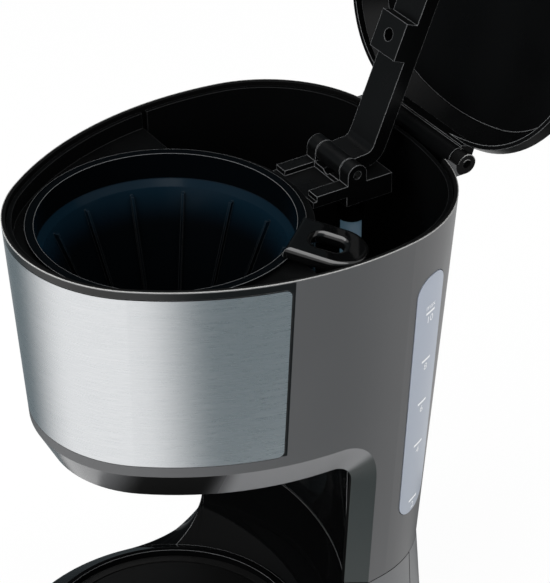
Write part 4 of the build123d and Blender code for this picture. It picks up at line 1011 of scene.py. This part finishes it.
class BREWER_OT_stage(bpy.types.Operator):
    """Set the camera, floor, world and lamps"""

    bl_idname = "brewer.stage"
    bl_label = "Stage"

    CARD_STEPS = 16

    def execute(self, context):
        stage = context.scene.brewer.stage
        scene = context.scene
        scene.view_settings.view_transform = "Standard"
        self.camera(scene, stage)
        self.floor(scene, stage)
        self.world(scene, stage)
        foot = [(stage.mat_start, CARD_LIFT), (stage.card_radius, CARD_LIFT)]
        wall = [(stage.card_radius, CARD_LIFT), (stage.card_radius, stage.card_height)]
        mat = [(stage.dark_mat_start, CARD_LIFT), (stage.mat_start, CARD_LIFT)]
        self.card(scene, stage, "right_card", (stage.right_start, stage.right_end), stage.right_fade,
                  stage.card_level, foot + wall[1:])
        self.card(scene, stage, "left_card", (stage.left_start, stage.left_end), stage.left_fade,
                  stage.card_level, foot + wall[1:])
        self.card(scene, stage, "back_card", (stage.back_start, stage.back_end), stage.right_fade,
                  stage.back_level, wall)
        self.card(scene, stage, "dark_mat", (stage.back_start, stage.mat_end), stage.right_fade,
                  stage.back_level, mat)
        self.top_card(scene, stage)
        self.lamp(scene, "key", stage.key_power, size=(1.3, 1.1), place=(0.3, -1.3, 0.95),
                  target=(0, -0.06, 0.22))
        self.lamp(scene, "overhead", stage.fill_power, size=(1.2, 1.2), place=(0.3, 0.5, 1.6),
                  target=(0, 0, 0.25))
        return {"FINISHED"}

    def camera(self, scene, stage):
        data = bpy.data.cameras.new("camera")
        data.sensor_width = SENSOR_WIDTH
        data.lens = stage.focal_pixels / IMAGE_HEIGHT * SENSOR_WIDTH
        data.clip_start = 0.01
        camera = bpy.data.objects.new("camera", data)
        camera.location = stage.eye
        look(camera, stage.target)
        scene.collection.objects.link(camera)
        scene.camera = camera

    def lamp(self, scene, name, watts, size, place, target):
        """A soft box that lights the object and doesn't show in its reflections."""
        data = bpy.data.lights.new(name, "AREA")
        data.shape = "RECTANGLE"
        data.size, data.size_y = size
        data.energy = watts
        lamp = bpy.data.objects.new(name, data)
        lamp.location = place
        lamp.visible_glossy = False
        look(lamp, target)
        scene.collection.objects.link(lamp)

    def floor(self, scene, stage):
        mesh = self.square("floor", stage.floor_size, 0)
        material, finish = new_finish("pale_floor")
        cloud = finish.noise(finish.place(), 2.0, 2.0)
        tone = finish.blend(cloud, rgba(stage.floor_colour, 0.98), rgba(stage.floor_colour))
        matt = finish.node("ShaderNodeBsdfPrincipled", values={"Base Color": tone, "Roughness": 0.8})
        plain = finish.node("ShaderNodeEmission", values={"Color": WHITE, "Strength": 1.0})
        white = self.seen(finish) * stage.floor_white
        mixed = finish.node("ShaderNodeMixShader", values={0: white, 1: matt, 2: plain})
        finish.node("ShaderNodeOutputMaterial", values={"Surface": mixed})
        mesh.materials.append(material)
        floor = bpy.data.objects.new("floor", mesh)
        scene.collection.objects.link(floor)

    def square(self, name, size, z):
        """A level square mesh."""
        half = size / 2
        mesh = bpy.data.meshes.new(name)
        mesh.from_pydata([(x * half, y * half, z) for x, y in ((-1, -1), (1, -1), (1, 1), (-1, 1))], [],
                         [(0, 1, 2, 3)])
        return mesh

    def world(self, scene, stage):
        world = bpy.data.worlds.new("studio")
        world.use_nodes = True
        scene.world = world
        finish = Finish(world.node_tree)
        seen = self.seen(finish)
        strength = seen + (1 - seen) * stage.ambient
        light = finish.node("ShaderNodeBackground", values={"Color": WHITE, "Strength": strength})
        finish.node("ShaderNodeOutputWorld", values={"Surface": light})
        world.cycles.sampling_method = "NONE"

    def seen(self, finish):
        """One for rays from the camera and for those that metal and glass send on."""
        path = finish.node("ShaderNodeLightPath", output="Is Camera Ray")
        outputs = path.socket.node.outputs
        glossy = Value(finish.tree, outputs["Is Glossy Ray"])
        through = Value(finish.tree, outputs["Is Transmission Ray"])
        return finish.larger(path, finish.larger(glossy, through))

    def card(self, scene, stage, name, limits, fade, level, profile):
        """A grey card bent round the object, with soft ends, which only reflections show."""
        start, end = limits
        steps = self.CARD_STEPS
        row = len(profile)
        points, faces = [], []
        for step in range(steps + 1):
            bearing = start + (end - start) * step / steps
            points += [(radius * math.cos(bearing), radius * math.sin(bearing), z) for radius, z in profile]
        for step in range(steps):
            for low in range(step * row, step * row + row - 1):
                faces.append((low, low + row, low + row + 1, low + 1))
        mesh = bpy.data.meshes.new(name)
        mesh.from_pydata(points, [], faces)
        material, finish = new_finish(name)
        middle = (start + end) / 2
        half = (end - start) / 2
        x, y = finish.parts(finish.place())[:2]
        across = y * math.cos(middle) - x * math.sin(middle)
        ahead = x * math.cos(middle) + y * math.sin(middle)
        turn = finish.turn(across, ahead)
        away = finish.node("ShaderNodeMath", {"operation": "ABSOLUTE"}, {0: turn})
        gone = finish.step(away, half - fade, half)
        colour = rgba(stage.card_tint, level)
        glow = finish.node("ShaderNodeEmission", values={"Color": colour, "Strength": 1.0})
        clear = finish.node("ShaderNodeBsdfTransparent")
        mixed = finish.node("ShaderNodeMixShader", values={0: gone, 1: glow, 2: clear})
        finish.node("ShaderNodeOutputMaterial", values={"Surface": mixed})
        mesh.materials.append(material)
        self.reflected_only(scene, mesh)

    def top_card(self, scene, stage):
        """A bright card overhead, for the highlights along the edges."""
        mesh = self.square("top_card", stage.top_size, stage.top_height)
        material, finish = new_finish("top_card")
        glow = finish.node("ShaderNodeEmission", values={"Color": WHITE, "Strength": stage.top_level})
        finish.node("ShaderNodeOutputMaterial", values={"Surface": glow})
        mesh.materials.append(material)
        self.reflected_only(scene, mesh)

    def reflected_only(self, scene, mesh):
        """Puts a card on the stage where nothing but reflections show it."""
        card = bpy.data.objects.new(mesh.name, mesh)
        scene.collection.objects.link(card)
        card.visible_camera = False
        card.visible_diffuse = False
        card.visible_shadow = False
        card.visible_transmission = False


class BREWER_PT_panel(bpy.types.Panel):
    """The coffee maker's pieces and settings"""

    bl_idname = "BREWER_PT_panel"
    bl_label = "Coffee Maker"
    bl_space_type = "VIEW_3D"
    bl_region_type = "UI"
    bl_category = "Coffee Maker"

    def draw(self, context):
        for operator in OPERATORS:
            self.layout.operator(operator.bl_idname)
        settings = context.scene.brewer
        for group in ("shell", "steel", "black", "window", "metal", "rubber", "trim", "stage"):
            box = self.layout.box()
            box.label(text=group.title())
            looks = getattr(settings, group)
            for name in looks.__annotations__:
                box.prop(looks, name)


OPERATORS = (BREWER_OT_shell, BREWER_OT_steel, BREWER_OT_black, BREWER_OT_window, BREWER_OT_metal,
             BREWER_OT_rubber, BREWER_OT_level_marks, BREWER_OT_drip_coil, BREWER_OT_hinge_gutter,
             BREWER_OT_stage)
CLASSES = (ShellLooks, SteelLooks, BlackLooks, WindowLooks, MetalLooks, RubberLooks, TrimSizes, StageSetup,
           BrewerSettings) + OPERATORS + (BREWER_PT_panel,)


def register():
    for cls in CLASSES:
        bpy.utils.register_class(cls)
    bpy.types.Scene.brewer = PointerProperty(type=BrewerSettings)


def unregister():
    del bpy.types.Scene.brewer
    for cls in reversed(CLASSES):
        bpy.utils.unregister_class(cls)


def main():
    register()
    bpy.ops.brewer.shell()
    bpy.ops.brewer.steel()
    bpy.ops.brewer.black()
    bpy.ops.brewer.window()
    bpy.ops.brewer.metal()
    bpy.ops.brewer.rubber()
    bpy.ops.brewer.level_marks()
    bpy.ops.brewer.drip_coil()
    bpy.ops.brewer.hinge_gutter()
    bpy.ops.brewer.stage()


if __name__ == "__main__":
    main()
